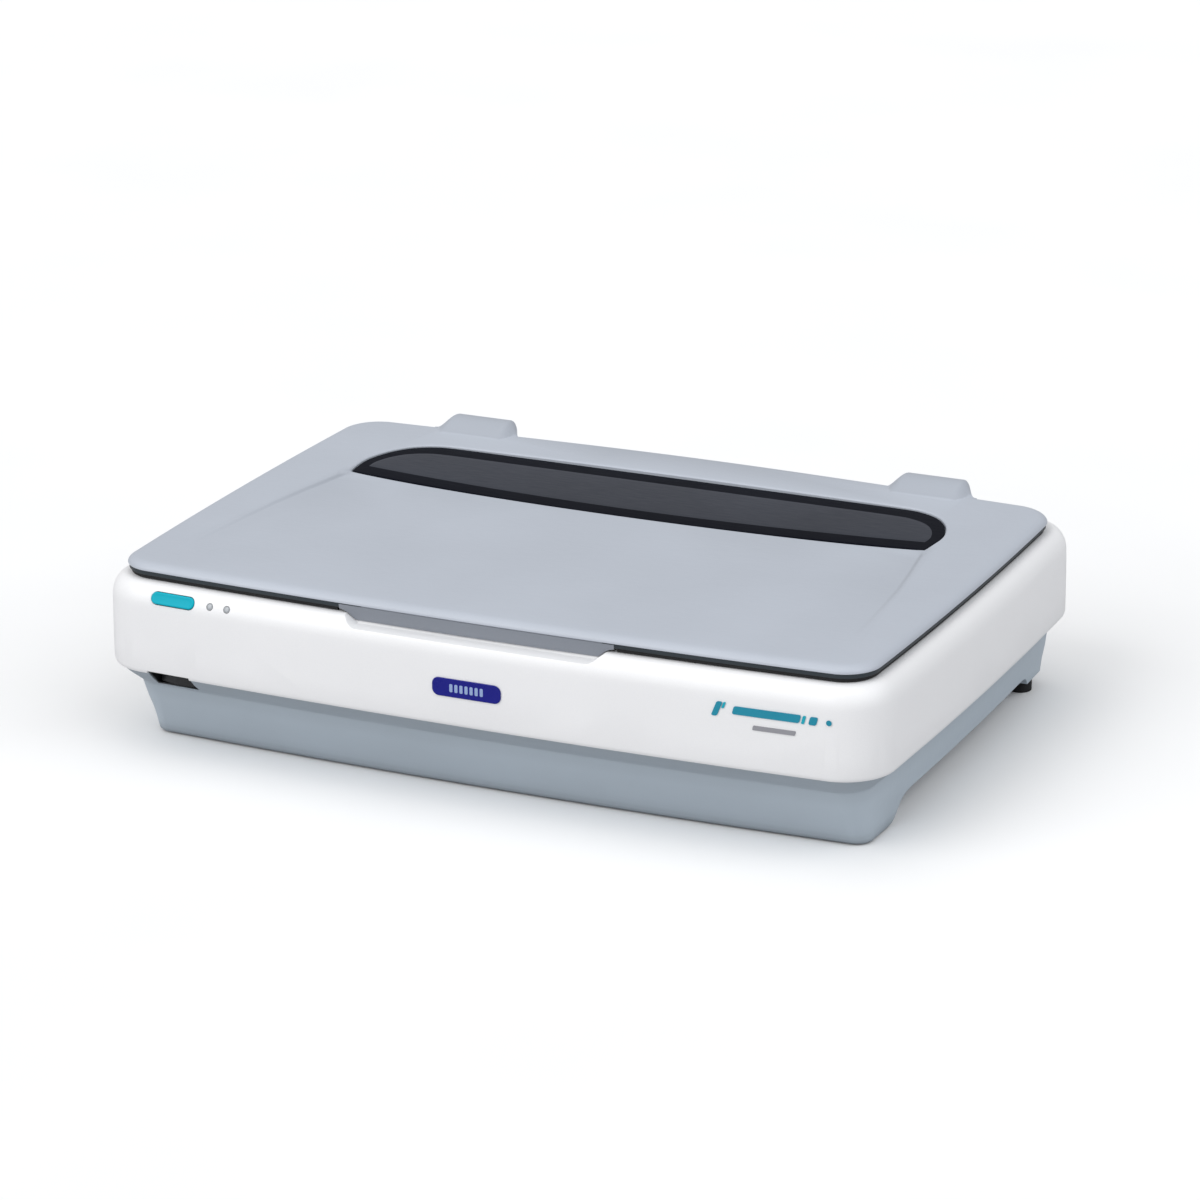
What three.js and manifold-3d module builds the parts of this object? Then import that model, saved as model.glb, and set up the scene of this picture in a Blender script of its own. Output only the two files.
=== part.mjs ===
// A large-format (A3) flatbed document scanner, as an assembly of separate pieces.
// Frame: millimetres, +Z up, X to the right and Y to the back as seen by the person
// standing at the front panel. The origin is on the table, under the centre of the body.
import * as THREE from "three";
import { mergeVertices } from "three/addons/utils/BufferGeometryUtils.js";
import Module from "manifold-3d";

const wasm = await Module();
wasm.setup();

// ================================================================ driving dimensions
// A pair in brackets is a span [low, high] along one axis.
const WIDTH = 656; // overall width
const DEPTH = 458; // body depth
const HEIGHT = 160; // table to the top of the hinge bumps
const BOW_FRONT = 9.5; // how far the front edge bulges past its corners
const BOW_SIDE = 5;
const BOW_REAR = 4;
const CORNER_R = 42; // vertical corner radius of the body
const ACROSS = [-340, 340]; // past both sides of the body, for cutting tools

const Z_PLINTH = 1; // underside of the front plinth
const Z_RIM = 19.5; // lower edge of the tray walls
const Z_PAN = 22; // underside of the tray floor
const Z_FLOOR = 25; // top of the tray floor
const Z_MOUNT = Z_FLOOR + 0.3; // underside of parts mounted on the floor
const Z_CREASE = 50; // where the tray's sloping band meets its wall
const Z_SPLIT = 66; // bottom edge of the white housing
const Z_SHOULDER = 120; // start of the rounded shoulder
const Z_DECK = 138; // top deck
const SHOULDER_RUN = 13.5; // horizontal run of the shoulder ellipse
const SHOULDER_IN = 14; // inset of the deck's edge
const WALL = 3.4;
const FIT = 0.3; // radial clearance round rods, pins, bushes and feet

const HINGE_X = 202; // distance of each hinge centre from the middle
const HINGE_Y = 215; // hinge axis
const HINGE_Z = 147;
const PIN_R = 3;
const LIP_HALF = 100; // half width of the lid's finger lip

const ROD_Y = -174; // guide rod axis
const ROD_Z = 84;
const ROD_R = 5;

const BELT_Y = -120;
const PULLEY_R = 7.4;
const DRIVE_X = 258;
const IDLER_X = -276;

const LOCK_X = -272; // transport lock axis
const LOCK_Y = -40;

// ================================================================ solids
function solid(geometry, matrix) {
  const bare = new THREE.BufferGeometry();
  const source = geometry.index ? geometry.toNonIndexed() : geometry;
  bare.setAttribute("position", source.getAttribute("position").clone());
  if (matrix) bare.applyMatrix4(matrix);
  const merged = mergeVertices(bare, 1e-4);
  return new wasm.Manifold(
    new wasm.Mesh({
      numProp: 3,
      vertProperties: new Float32Array(merged.attributes.position.array),
      triVerts: new Uint32Array(merged.index.array),
    }),
  );
}

function geometryOf(body) {
  const mesh = body.getMesh();
  const positions = new Float32Array(mesh.vertProperties);
  const geometry = new THREE.BufferGeometry();
  geometry.setAttribute("position", new THREE.BufferAttribute(positions, 3));
  geometry.setIndex(new THREE.BufferAttribute(new Uint32Array(mesh.triVerts), 1));
  geometry.computeVertexNormals();
  return geometry;
}

const around = (centre, half) => [centre - half, centre + half];
const middle = ([low, high]) => (low + high) / 2;
const length = ([low, high]) => high - low;
const shrink = ([low, high], margin) => [low + margin, high - margin];
const radians = (degrees) => (degrees * Math.PI) / 180;
const translation = (x, y, z) => new THREE.Matrix4().makeTranslation(x, y, z);

const box = (x, y, z) =>
  solid(
    new THREE.BoxGeometry(length(x), length(y), length(z)),
    translation(middle(x), middle(y), middle(z)),
  );

// Cylinder or cone along an axis; centre holds the other two coordinates in x, y, z order.
function cylinder(axis, centre, span, radius, segments = 20, highRadius = radius) {
  const geometry = new THREE.CylinderGeometry(highRadius, radius, length(span), segments);
  const [first, second] = centre;
  const matrix = new THREE.Matrix4();
  if (axis === "z") {
    matrix.makeRotationX(Math.PI / 2).setPosition(first, second, middle(span));
  } else if (axis === "x") {
    matrix.makeRotationZ(-Math.PI / 2).setPosition(middle(span), first, second);
  } else {
    matrix.setPosition(first, middle(span), second);
  }
  return solid(geometry, matrix);
}

const shapeOf = (points) => new THREE.Shape(points.map((p) => new THREE.Vector2(...p)));

const extrude = (points, depth, matrix) =>
  solid(
    new THREE.ExtrudeGeometry(shapeOf(points), { depth, bevelEnabled: false, steps: 1 }),
    matrix,
  );
const basis = (...axes) =>
  new THREE.Matrix4().makeBasis(...axes.map((axis) => new THREE.Vector3(...axis)));

// points (x, y)
const prismZ = (points, z) => extrude(points, length(z), translation(0, 0, z[0]));
// points (y, z)
const prismX = (points, x) =>
  extrude(points, length(x), basis([0, 1, 0], [0, 0, 1], [1, 0, 0]).setPosition(x[0], 0, 0));
// points (x, z)
const prismY = (points, y) =>
  extrude(points, length(y), basis([1, 0, 0], [0, 0, 1], [0, -1, 0]).setPosition(0, y[1], 0));
// points and span along the axes of a local frame
const prismIn = (frame, points, span) =>
  extrude(points, length(span), frame.clone().multiply(translation(0, 0, span[0])));

const add = (...solids) => solids.reduce((sum, next) => sum.add(next));
const cut = (base, ...tools) => tools.reduce((rest, tool) => rest.subtract(tool), base);
const both = (one, other) => one.intersect(other);

// Left-right symmetric outline from half of it: rows [distance from centre, other coordinate]
const mirrored = (half, centre = 0) => [
  ...half.map(([x, other]) => [centre - x, other]),
  ...[...half].reverse().map(([x, other]) => [centre + x, other]),
];

function roundRect([centreX, centreY], [width, height], radius, steps = 4) {
  const reachX = width / 2 - radius;
  const reachY = height / 2 - radius;
  const points = [];
  const corners = [
    [centreX + reachX, centreY + reachY, 0],
    [centreX - reachX, centreY + reachY, 90],
    [centreX - reachX, centreY - reachY, 180],
    [centreX + reachX, centreY - reachY, 270],
  ];
  for (const [x, y, start] of corners)
    for (let i = 0; i <= steps; i++) {
      const angle = radians(start + (90 * i) / steps);
      points.push([x + radius * Math.cos(angle), y + radius * Math.sin(angle)]);
    }
  return points;
}

const capsule = (width, height, grow = 0) =>
  roundRect([0, 0], [width + 2 * grow, height + 2 * grow], height / 2 + grow - 0.01, 6);

// ================================================================ body outline
// Four long arcs, one per side, joined by corner fillets. Insets are true offsets.
const HALF_W = WIDTH / 2;
const HALF_D = DEPTH / 2;
const bowRadius = (half, bow) => (half ** 2 + bow ** 2) / (2 * bow);
const R_FRONT = bowRadius(HALF_W, BOW_FRONT);
const R_SIDE = bowRadius(HALF_D, BOW_SIDE);
const R_REAR = bowRadius(HALF_W, BOW_REAR);
const FILLET_STEPS = 6;
const LONG_STEPS = 6; // along the front and rear arcs
const SHORT_STEPS = 4; // along the side arcs

// y of the body's front surface at x, for an inset
const frontY = (x, inset) => -HALF_D + R_FRONT - Math.sqrt((R_FRONT - inset) ** 2 - x * x);

// Centre of a fillet that touches two arcs from inside, by Newton's method from a guess
function filletCentre(arcA, arcB, radius, [x, y]) {
  for (let k = 0; k < 30; k++) {
    const [ax, ay] = [x - arcA.centre[0], y - arcA.centre[1]];
    const [bx, by] = [x - arcB.centre[0], y - arcB.centre[1]];
    const distA = Math.hypot(ax, ay);
    const distB = Math.hypot(bx, by);
    const errorA = distA - (arcA.radius - radius);
    const errorB = distB - (arcB.radius - radius);
    const dirA = [ax / distA, ay / distA];
    const dirB = [bx / distB, by / distB];
    const det = dirA[0] * dirB[1] - dirA[1] * dirB[0];
    x -= (errorA * dirB[1] - errorB * dirA[1]) / det;
    y -= (errorB * dirA[0] - errorA * dirB[0]) / det;
  }
  return [x, y];
}

// Points along the shorter way round, without the last one
function arcPoints([x, y], radius, from, to, steps) {
  let turn = to - from;
  while (turn < -Math.PI) turn += 2 * Math.PI;
  while (turn > Math.PI) turn -= 2 * Math.PI;
  return Array.from({ length: steps }, (_, i) => {
    const angle = from + (turn * i) / steps;
    return [x + radius * Math.cos(angle), y + radius * Math.sin(angle)];
  });
}

const bearing = (from, to) => Math.atan2(to[1] - from[1], to[0] - from[0]);

// front and side are insets; rear is { y, radius, inset }, with y where the arc
// crosses the centre line before its inset.
function outline(front, side, rear, [frontCorner, rearCorner]) {
  const rearArc = { centre: [0, rear.y - rear.radius], radius: rear.radius - rear.inset };
  const rearEdge = rearArc.centre[1] + rearArc.radius;
  const sideArc = (sign) => ({ centre: [sign * (HALF_W - R_SIDE), 0], radius: R_SIDE - side });
  const arcs = [
    { centre: [0, -HALF_D + R_FRONT], radius: R_FRONT - front },
    sideArc(1),
    rearArc,
    sideArc(-1),
  ];
  const radii = [frontCorner, rearCorner, rearCorner, frontCorner];
  const frontX = HALF_W - side - frontCorner;
  const frontGuessY = -HALF_D + front + frontCorner + 6;
  const rearX = HALF_W - side - rearCorner;
  const rearGuessY = rearEdge - rearCorner - 3;
  const fillets = [
    [frontX, frontGuessY],
    [rearX, rearGuessY],
    [-rearX, rearGuessY],
    [-frontX, frontGuessY],
  ].map((guess, i) => filletCentre(arcs[i], arcs[(i + 1) % 4], radii[i], guess));

  return arcs.flatMap(({ centre, radius }, i) => {
    const before = fillets[(i + 3) % 4];
    const after = fillets[i];
    const start = bearing(centre, before);
    const end = bearing(centre, after);
    const nextStart = bearing(arcs[(i + 1) % 4].centre, after);
    return [
      ...arcPoints(centre, radius, start, end, i % 2 ? SHORT_STEPS : LONG_STEPS),
      ...arcPoints(after, radii[i], end, nextStart, FILLET_STEPS),
    ];
  });
}

// Closed solid through rings [[z, points], ...], low to high
function loft(rings) {
  const count = rings[0][1].length;
  const positions = [];
  const triangle = (a, b, c) => positions.push(...a, ...b, ...c);
  const levels = rings.map(([z, points]) => points.map(([x, y]) => [x, y, z]));
  for (let k = 0; k + 1 < levels.length; k++)
    for (let i = 0; i < count; i++) {
      const j = (i + 1) % count;
      triangle(levels[k][i], levels[k][j], levels[k + 1][j]);
      triangle(levels[k][i], levels[k + 1][j], levels[k + 1][i]);
    }
  const bottom = levels[0];
  const top = levels.at(-1);
  const flat = rings[0][1].map((p) => new THREE.Vector2(...p));
  for (const [a, b, c] of THREE.ShapeUtils.triangulateShape(flat, [])) {
    triangle(bottom[c], bottom[b], bottom[a]);
    triangle(top[a], top[b], top[c]);
  }
  const geometry = new THREE.BufferGeometry();
  geometry.setAttribute("position", new THREE.Float32BufferAttribute(positions, 3));
  return solid(geometry);
}

// Rows: z, front inset, side inset, rear inset, corner radius or [front, rear] radii
const bodyLoft = (rows) =>
  loft(
    rows.map(([z, front, side, rear, corner]) => [
      z,
      outline(front, side, { y: HALF_D, radius: R_REAR, inset: rear }, [corner, corner].flat()
        .slice(0, 2)),
    ]),
  );
// Rows: z, inset all round
const evenLoft = (rows) =>
  bodyLoft(rows.map(([z, inset]) => [z, inset, inset, inset, Math.max(4, CORNER_R - inset)]));

// ================================================================ materials and groups
const material = (settings) =>
  new THREE.MeshStandardMaterial({ roughness: 0.5, metalness: 0, ...settings });
const WHITE = material({ color: 0xebebed, roughness: 0.4 });
const LID_GREY = material({ color: 0xbcc0ca, roughness: 0.45 });
const BASE_GREY = material({ color: 0x9aa3ae });
const SMOKE = material({ color: 0x4d5058, roughness: 0.25 });
const BLACK = material({ color: 0x0c0d10, roughness: 0.6 });
const RUBBER = material({ color: 0x0a0a0b, roughness: 0.9 });
const STEEL = material({ color: 0xb9bcc0, roughness: 0.3, metalness: 1 });
const GLASS = material({ color: 0xdfe9e8, roughness: 0.02, transparent: true, opacity: 0.3 });
const MAT_WHITE = material({ color: 0xf4f4f1, roughness: 0.7 });
const TEAL = material({ color: 0x00afc4, roughness: 0.35 });
const NAVY = material({ color: 0x10207e, roughness: 0.3 });
const PCB = material({ color: 0x1f6b3c });
const MIRROR = material({ color: 0xe8eef2, roughness: 0.03, metalness: 1 });
const LAMP = material({ color: 0xfafcff, roughness: 0.3 });
const BELT = material({ color: 0x17181a, roughness: 0.8 });
const BRASS = material({ color: 0xb08d4a, roughness: 0.35, metalness: 1 });
const READY_LENS = material({ color: 0x9fb8a6, roughness: 0.2 });
const ERROR_LENS = material({ color: 0xb9b2a4, roughness: 0.2 });

const scanner = new THREE.Group();
const groups = {}; // one per body that moves as a whole

function piece(group, name, body, finish) {
  groups[group] ??= scanner.add(new THREE.Group()).children.at(-1);
  const mesh = new THREE.Mesh(geometryOf(body), finish);
  mesh.name = name;
  groups[group].add(mesh);
}

// ================================================================ lower tray
// Front wall slopes back below the crease; sides and rear are nearly upright.
const FACE_SLOPE = 0.5; // mm in per mm down
const CREASE_IN = 21; // front inset at the crease
const faceIn = (z) => CREASE_IN + (Z_CREASE - z) * FACE_SLOPE;

// From the plinth's underside to the seat inside the housing; columns as for bodyLoft
const TRAY_OUTER = [
  [Z_PLINTH, 47.4, 26, 15, [12, 10]],
  [Z_PLINTH + 1.2, faceIn(Z_PLINTH + 1.2), 24.4, 13, [14, 10]],
  [14, faceIn(14), 24.1, 10.4, [16.4, 11]],
  [22, faceIn(22), 23.6, 7.4, [18, 12]],
  [33, faceIn(33), 21.5, 6, [20.3, 13]],
  [Z_CREASE, CREASE_IN, 19.5, 5, [24, 14]],
  [Z_CREASE + 1.2, 19.4, 18.2, 4.9, [26, 16]],
  [60, 8.9, 8.8, 4.7, [34, 30]],
  [64, 4.9, 4.9, 4.5, [37, 36]],
  [65, 4.2, 4.2, 4.2, 38],
  [71, 4.2, 4.2, 4.2, 38],
];
const TRAY_INNER = [
  [Z_FLOOR, faceIn(Z_FLOOR) + 3.4, 26.4, 10.4, [15.5, 10]],
  [33, faceIn(33) + 3.2, 24.8, 9.2, [17.5, 11]],
  [Z_CREASE + 1.4, 23.4, 22.2, 8.2, [22, 13]],
  [60, 13, 12.6, 8, [30, 26]],
  [65.3, 7, 7, 7, 35],
  [72, 7, 7, 7, 35],
];
// Underside seen from the side, (y, z): plinth, raised floor, rear corner blocks
const UNDERSIDE = [
  [-132, -5], [-131.4, 1.4], [-126, 3.6], [-121.5, 6.4], [-116.6, 10.6], [-111, 15],
  [-104, 17.8], [-92, 19.2], [-80, Z_RIM], [152, Z_RIM], [162, 18.6], [168, 16],
  [172, 11.5], [240, 11.5], [240, -5],
];
// Gap between the rear blocks: distance from centre, z
const REAR_GAP = mirrored([[270, -5], [268.6, 13], [264, 17], [254, Z_RIM]]);
// x spans of the plinth pockets, with ribs between them
const PLINTH_POCKETS = [
  [-252, -168], [-164.5, -84], [-80.5, -1.7],
  [1.7, 80.5], [84, 164.5], [168, 252],
];
// Rubber feet: x, y, radius, top
const FEET = {
  foot_front_left: [-272, -152, 9, 2.6],
  foot_front_right: [272, -152, 9, 2.6],
  foot_rear_left: [-293, 191, 10, 13.4],
  foot_rear_right: [293, 191, 10, 13.4],
};
const SPRING_TAB_Y = around(BELT_Y, 5);
const SWITCH_X = -260;
const switchPocket = box(around(SWITCH_X, 18.8), [-240, -189.7], [53.2, 68.5]);

function baseTray() {
  let tray = cut(bodyLoft(TRAY_OUTER), prismX(UNDERSIDE, ACROSS), prismY(REAR_GAP, [140, 245]));

  // The floor sits a little above the lower edge of the walls.
  const floorRecess = bodyLoft([
    [10, 60, 33, 16, 18],
    [Z_PAN, 60, 33, 16, 18],
  ]);
  const recessArea = add(
    box(ACROSS, [-74, 148], [0, 40]),
    box([-248, 248], [140, 240], [0, 40]),
  );
  tray = cut(tray, both(floorRecess, recessArea), bodyLoft(TRAY_INNER));

  // The plinth is hollow from below.
  const plinthHollow = bodyLoft([
    [0, 51, 30, 30, 12],
    [Z_PAN - 1.5, faceIn(Z_PAN) + 3.4, 30, 30, 14],
  ]);
  for (const x of PLINTH_POCKETS)
    tray = cut(tray, both(plinthHollow, box(x, [-190, -136], [0, Z_PAN - 2])));

  // Seats for the rubber feet
  for (const [x, y, radius, top] of Object.values(FEET))
    tray = cut(tray, cylinder("z", [x, y], [-1, top + FIT], radius + 0.4, 24));

  // The transport lock passes through the floor; the spring anchor stands on it.
  tray = cut(tray, cylinder("z", [LOCK_X, LOCK_Y], [15, 30], 4.5));
  tray = add(tray, box([-236, -232], SPRING_TAB_Y, [Z_FLOOR - 1, 37]));
  return cut(tray, switchPocket);
}
piece("housing", "base_tray", baseTray(), BASE_GREY);

for (const [name, [x, y, radius, top]] of Object.entries(FEET)) {
  const foot = add(
    cylinder("z", [x, y], [0.8, top], radius, 24),
    cylinder("z", [x, y], [0, 0.9], radius - 0.8, 24, radius),
  );
  piece("housing", name, foot, RUBBER);
}

// ================================================================ connectors
// Centre and half sizes of each port on the back
const SCSI = { x: -81, z: 92, halfX: 31, halfZ: 6 };
const USB = { x: -14, z: 91.5, halfX: 6, halfZ: 5.5 };
const POWER_INLET = { x: 135, z: 90, halfX: 14, halfZ: 10 };
const PORT_GAP = 0.5; // clearance round a port in its opening
const PLATE_X = -70; // centre of the connector plate

const portBox = (port, y, growX = 0, growZ = growX) =>
  box(around(port.x, port.halfX + growX), y, around(port.z, port.halfZ + growZ));

// ================================================================ upper housing
// [z, inset] on the shoulder ellipse
const shoulder = (degrees) => [
  Z_SHOULDER + (Z_DECK - Z_SHOULDER) * Math.sin(radians(degrees)),
  SHOULDER_IN - SHOULDER_RUN * Math.cos(radians(degrees)),
];

// Frame on the front surface: x along it, y up it, z outward; tilt raises the outward axis.
function surfaceFrame(x, z, inset, tilt) {
  const yaw = Math.asin(x / R_FRONT);
  const outward = new THREE.Vector3(
    Math.sin(yaw) * Math.cos(tilt),
    -Math.cos(yaw) * Math.cos(tilt),
    Math.sin(tilt),
  );
  const along = new THREE.Vector3(Math.cos(yaw), Math.sin(yaw), 0);
  const rise = outward.clone().cross(along);
  return new THREE.Matrix4()
    .makeBasis(along, rise, outward)
    .setPosition(x, frontY(x, inset), z);
}

const PANEL_DEG = 31; // where the controls sit on the shoulder ellipse
function panelFrame(x) {
  const tilt = Math.atan2(
    Math.sin(radians(PANEL_DEG)) / (Z_DECK - Z_SHOULDER),
    Math.cos(radians(PANEL_DEG)) / SHOULDER_RUN,
  );
  return surfaceFrame(x, ...shoulder(PANEL_DEG), tilt);
}

const buttonFrame = panelFrame(-254);
const BUTTON_SIZE = [38, 9.6];
const LENS_SIZE = [5, 5];
const LIGHTS = [
  { name: "ready_light_lens", x: -221, finish: READY_LENS },
  { name: "error_light_lens", x: -206, finish: ERROR_LENS },
];
const CONTROL_HOLE = [-9, 8]; // depth span of the holes for button and lights
const VENTS = { count: 7, x: 38, pitch: 10, width: 3 };
const REAR_WALL_CUT = [215, 240]; // y span of cuts through the rear wall
const OPENING = [441, 314]; // over the glass
const BOSS_Z = [127, Z_DECK - 0.1]; // thickening round the recesses

function upperHousing() {
  const outer = evenLoft([
    [Z_SPLIT, 2.4],
    [Z_SPLIT + 1.3, 0.9],
    [Z_SPLIT + 4, 0],
    [118, 0.4],
    ...[12, 27, 43, 60, 76, 90].map(shoulder),
  ]);
  const inner = evenLoft([
    [Z_SPLIT - 1, WALL],
    [119, 3.9],
    [127.5, 5.3],
    [132, 8.6],
    [134.5, 12.5],
    [135.5, 17],
  ]);
  let housing = cut(outer, inner);

  // Finger scoop under the lid's lip
  housing = add(housing, both(box(around(0, LIP_HALF + 5), [-235, -206], BOSS_Z), outer));
  housing = cut(housing, box(around(0, LIP_HALF + 2), [-240, -209.5], [130.5, 150]));

  // Hinge recesses and holes for the sockets
  for (const hingeX of [-HINGE_X, HINGE_X]) {
    housing = add(housing, both(box(around(hingeX, 46), [199, 240], BOSS_Z), outer));
    housing = cut(
      housing,
      box(around(hingeX, 43), [202.5, 245], [131, 150]),
      box(around(hingeX, 19.4), [206.4, 223], [120, 140]),
    );
  }

  housing = cut(
    housing,
    prismZ(roundRect([0, 0], OPENING, 4, 3), [130, 145]),
    switchPocket,
    prismIn(buttonFrame, capsule(...BUTTON_SIZE, 0.5), CONTROL_HOLE),
    ...LIGHTS.map(({ x }) => prismIn(panelFrame(x), capsule(...LENS_SIZE, 0.4), CONTROL_HOLE)),
    box(around(PLATE_X, 82), REAR_WALL_CUT, [76, 108]),
    portBox(POWER_INLET, REAR_WALL_CUT, PORT_GAP),
  );
  for (let i = 0; i < VENTS.count; i++) {
    const x = VENTS.x + i * VENTS.pitch;
    housing = cut(housing, box([x, x + VENTS.width], REAR_WALL_CUT, [80, 106]));
  }
  return housing;
}
piece("housing", "upper_housing", upperHousing(), WHITE);

// Controls on the shoulder: a button with a stem behind it, two lenses and their board
const startButton = add(
  prismIn(buttonFrame, capsule(...BUTTON_SIZE), [-3.6, 0.9]),
  prismIn(buttonFrame, roundRect([0, 0], [8, 4], 1, 2), [-10.2, -3.5]),
);
piece("start_button", "start_button", startButton, TEAL);

for (const { name, x, finish } of LIGHTS)
  piece("housing", name, prismIn(panelFrame(x), capsule(...LENS_SIZE), [-4.2, 0.35]), finish);

const controlBoard = add(
  prismIn(panelFrame(-235), roundRect([0, -0.5], [76, 17], 1, 1), [-15.4, -13.8]),
  prismIn(buttonFrame, roundRect([0, 0], [7, 7], 0.5, 1), [-14.2, -12.4]),
);
piece("housing", "control_board", controlBoard, PCB);

// Badge and accent on the front wall
const badge = prismY(roundRect([0, 97], [57, 17.5], 6), [-HALF_D - 0.9, -HALF_D - 0.1]);
piece("housing", "front_badge", badge, NAVY);

const stripe = prismIn(
  surfaceFrame(243.5, 112, 0, 0),
  roundRect([0, 0], [88, 7], 3, 3),
  [0.25, 0.8],
);
piece("housing", "accent_stripe", stripe, TEAL);

// Power switch: a black pocket under the front left edge, with a wide rocker in it
const SLOPE_TRIM = [[-240, 50], [-201.8, 50], [-222.4, 70], [-240, 72]]; // (y, z)
const switchBezel = cut(
  box(around(SWITCH_X, 18.5), [-235, -190], [53.5, 68.2]),
  box(around(SWITCH_X, 17.2), [-240, -194], [54.8, 67]),
  prismX(SLOPE_TRIM, [-300, -220]),
);
piece("housing", "power_switch_bezel", switchBezel, BLACK);

// Rocker seen from above, (x, y) about its pivot
const ROCKER_OUTLINE = [
  [-15.6, -2.4], [-8, -3.6], [0, -4.2], [8, -3.6], [15.6, -2.4],
  [15.8, 1], [5, 5], [-5, 5], [-15.8, 1],
];
const ROCKER_HEIGHT = 10.4;
const rockerFrame = translation(SWITCH_X, -204, 55.6).multiply(
  new THREE.Matrix4().makeRotationZ(radians(-7)),
);
const rocker = extrude(ROCKER_OUTLINE, ROCKER_HEIGHT, rockerFrame);
piece("power_rocker", "power_rocker", rocker, BLACK);

// ================================================================ glass and scales
const GLASS_TOP = 135.2;
const SCALE_Z = [Z_DECK + 0.25, Z_DECK + 0.8];
const glass = box([-230, 230], [-166, 166], [131.3, GLASS_TOP]);
const calibration = box([-247, -231], [-156, 156], [GLASS_TOP - 1, GLASS_TOP]);
piece("housing", "platen_glass", glass, GLASS);
piece("housing", "calibration_strip", calibration, MAT_WHITE);
piece("housing", "front_scale_strip", box([-220, 220], [-171, -159], SCALE_Z), LID_GREY);
piece("housing", "left_scale_strip", box([-235, -222.5], [-157, 157], SCALE_Z), LID_GREY);

// ================================================================ carriage guides
const ROD_AXIS = [ROD_Y, ROD_Z];
piece("housing", "guide_rod", cylinder("x", ROD_AXIS, [-277.5, 277.5], ROD_R), STEEL);

// (y, z)
const BRACKET_PROFILE = [
  [-179, Z_MOUNT], [-152, Z_MOUNT], [-152, 28], [-164, 30], [-166.5, 76], [-166.5, 90],
  [-169, 92.5], [-179, 92.5], [-181.5, 90], [-181.5, 60], [-179, 40],
];
const ROD_BRACKETS = { rod_bracket_left: [-278, -268], rod_bracket_right: [268, 278] };
for (const [name, span] of Object.entries(ROD_BRACKETS)) {
  const bore = cylinder("x", ROD_AXIS, shrink(span, -1), ROD_R + FIT);
  piece("housing", name, cut(prismX(BRACKET_PROFILE, span), bore), BLACK);
}

// Folded section, (y, z): foot, upright and a flange reaching forward
const RAIL_PROFILE = [
  [180, Z_MOUNT], [198, Z_MOUNT], [198, 27], [189, 27], [189, 70.5],
  [174, 70.5], [174, 68.8], [187.3, 68.8], [187.3, 27], [180, 27],
];
piece("housing", "rear_slide_rail", prismX(RAIL_PROFILE, [-284, 284]), STEEL);

// ================================================================ belt drive
const SHAFT_R = 2.5;
const DRIVE_AXIS = [DRIVE_X, BELT_Y];
const IDLER_AXIS = [IDLER_X, BELT_Y];

const motor = cut(
  add(
    cylinder("z", DRIVE_AXIS, [Z_MOUNT, 47.1], 19, 28),
    prismZ(roundRect(DRIVE_AXIS, [44, 44], 6, 3), [47, 48.8]),
  ),
  cylinder("z", DRIVE_AXIS, [36, 55], SHAFT_R + 0.4, 16),
);
piece("housing", "drive_motor", motor, STEEL);

// Drum between two flanges
const FLANGE_R = 9.7;
const pulley = (axis) =>
  add(
    cylinder("z", axis, [51.4, 58.6], PULLEY_R, 24),
    cylinder("z", axis, [50.3, 51.5], FLANGE_R, 24),
    cylinder("z", axis, [58.5, 59.7], FLANGE_R, 24),
  );
const drivePulley = add(pulley(DRIVE_AXIS), cylinder("z", DRIVE_AXIS, [38, 62], SHAFT_R, 16));
const idlerPulley = cut(
  pulley(IDLER_AXIS),
  cylinder("z", IDLER_AXIS, [45, 65], SHAFT_R + FIT, 16),
);
piece("drive_pulley", "drive_pulley", drivePulley, BRASS);
piece("idler_pulley", "idler_pulley", idlerPulley, BLACK);

// Base plate, post, idler shaft and spring tab
const idlerBracket = add(
  prismZ(roundRect([IDLER_X + 1, BELT_Y], [26, 24], 3, 2), [Z_MOUNT, 28]),
  cylinder("z", IDLER_AXIS, [27, 49.8], 5, 18),
  cylinder("z", IDLER_AXIS, [49, 61.5], SHAFT_R, 16),
  box([-264, -262], SPRING_TAB_Y, [27.5, 37]),
);
piece("housing", "idler_bracket", idlerBracket, STEEL);

// Loop round both pulleys
function beltLoop(radius) {
  const steps = 10;
  const halfTurn = (x, start) =>
    Array.from({ length: steps + 1 }, (_, i) => {
      const angle = start + (Math.PI * i) / steps;
      return [x + radius * Math.cos(angle), BELT_Y + radius * Math.sin(angle)];
    });
  return [...halfTurn(DRIVE_X, -Math.PI / 2), ...halfTurn(IDLER_X, Math.PI / 2)];
}
const belt = cut(
  prismZ(beltLoop(PULLEY_R + 1.6), [52, 58]),
  prismZ(beltLoop(PULLEY_R + 0.3), [51, 59]),
);
piece("housing", "timing_belt", belt, BELT);

// Coil along X between the idler bracket's tab and the tray's anchor
const SPRING = { x: [-260.9, -237.1], z: 33, turns: 7, radius: 3, wireRadius: 0.45 };
class Helix extends THREE.Curve {
  getPoint(t, target = new THREE.Vector3()) {
    const angle = 2 * Math.PI * SPRING.turns * t;
    return target.set(
      SPRING.x[0] + length(SPRING.x) * t,
      BELT_Y + SPRING.radius * Math.cos(angle),
      SPRING.z + SPRING.radius * Math.sin(angle),
    );
  }
}
function tensionSpring() {
  const sides = 5;
  const wire = Array.from({ length: sides }, (_, i) => {
    const angle = (2 * Math.PI * i) / sides;
    return [SPRING.wireRadius * Math.cos(angle), SPRING.wireRadius * Math.sin(angle)];
  });
  const options = { steps: 70, bevelEnabled: false, extrudePath: new Helix() };
  return solid(new THREE.ExtrudeGeometry(shapeOf(wire), options));
}
piece("housing", "belt_tension_spring", tensionSpring(), STEEL);

// ================================================================ electronics
const BOARD_Z = [30, 31.6];
const PART_Z = 31.5; // underside of the parts, just inside the board
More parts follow.
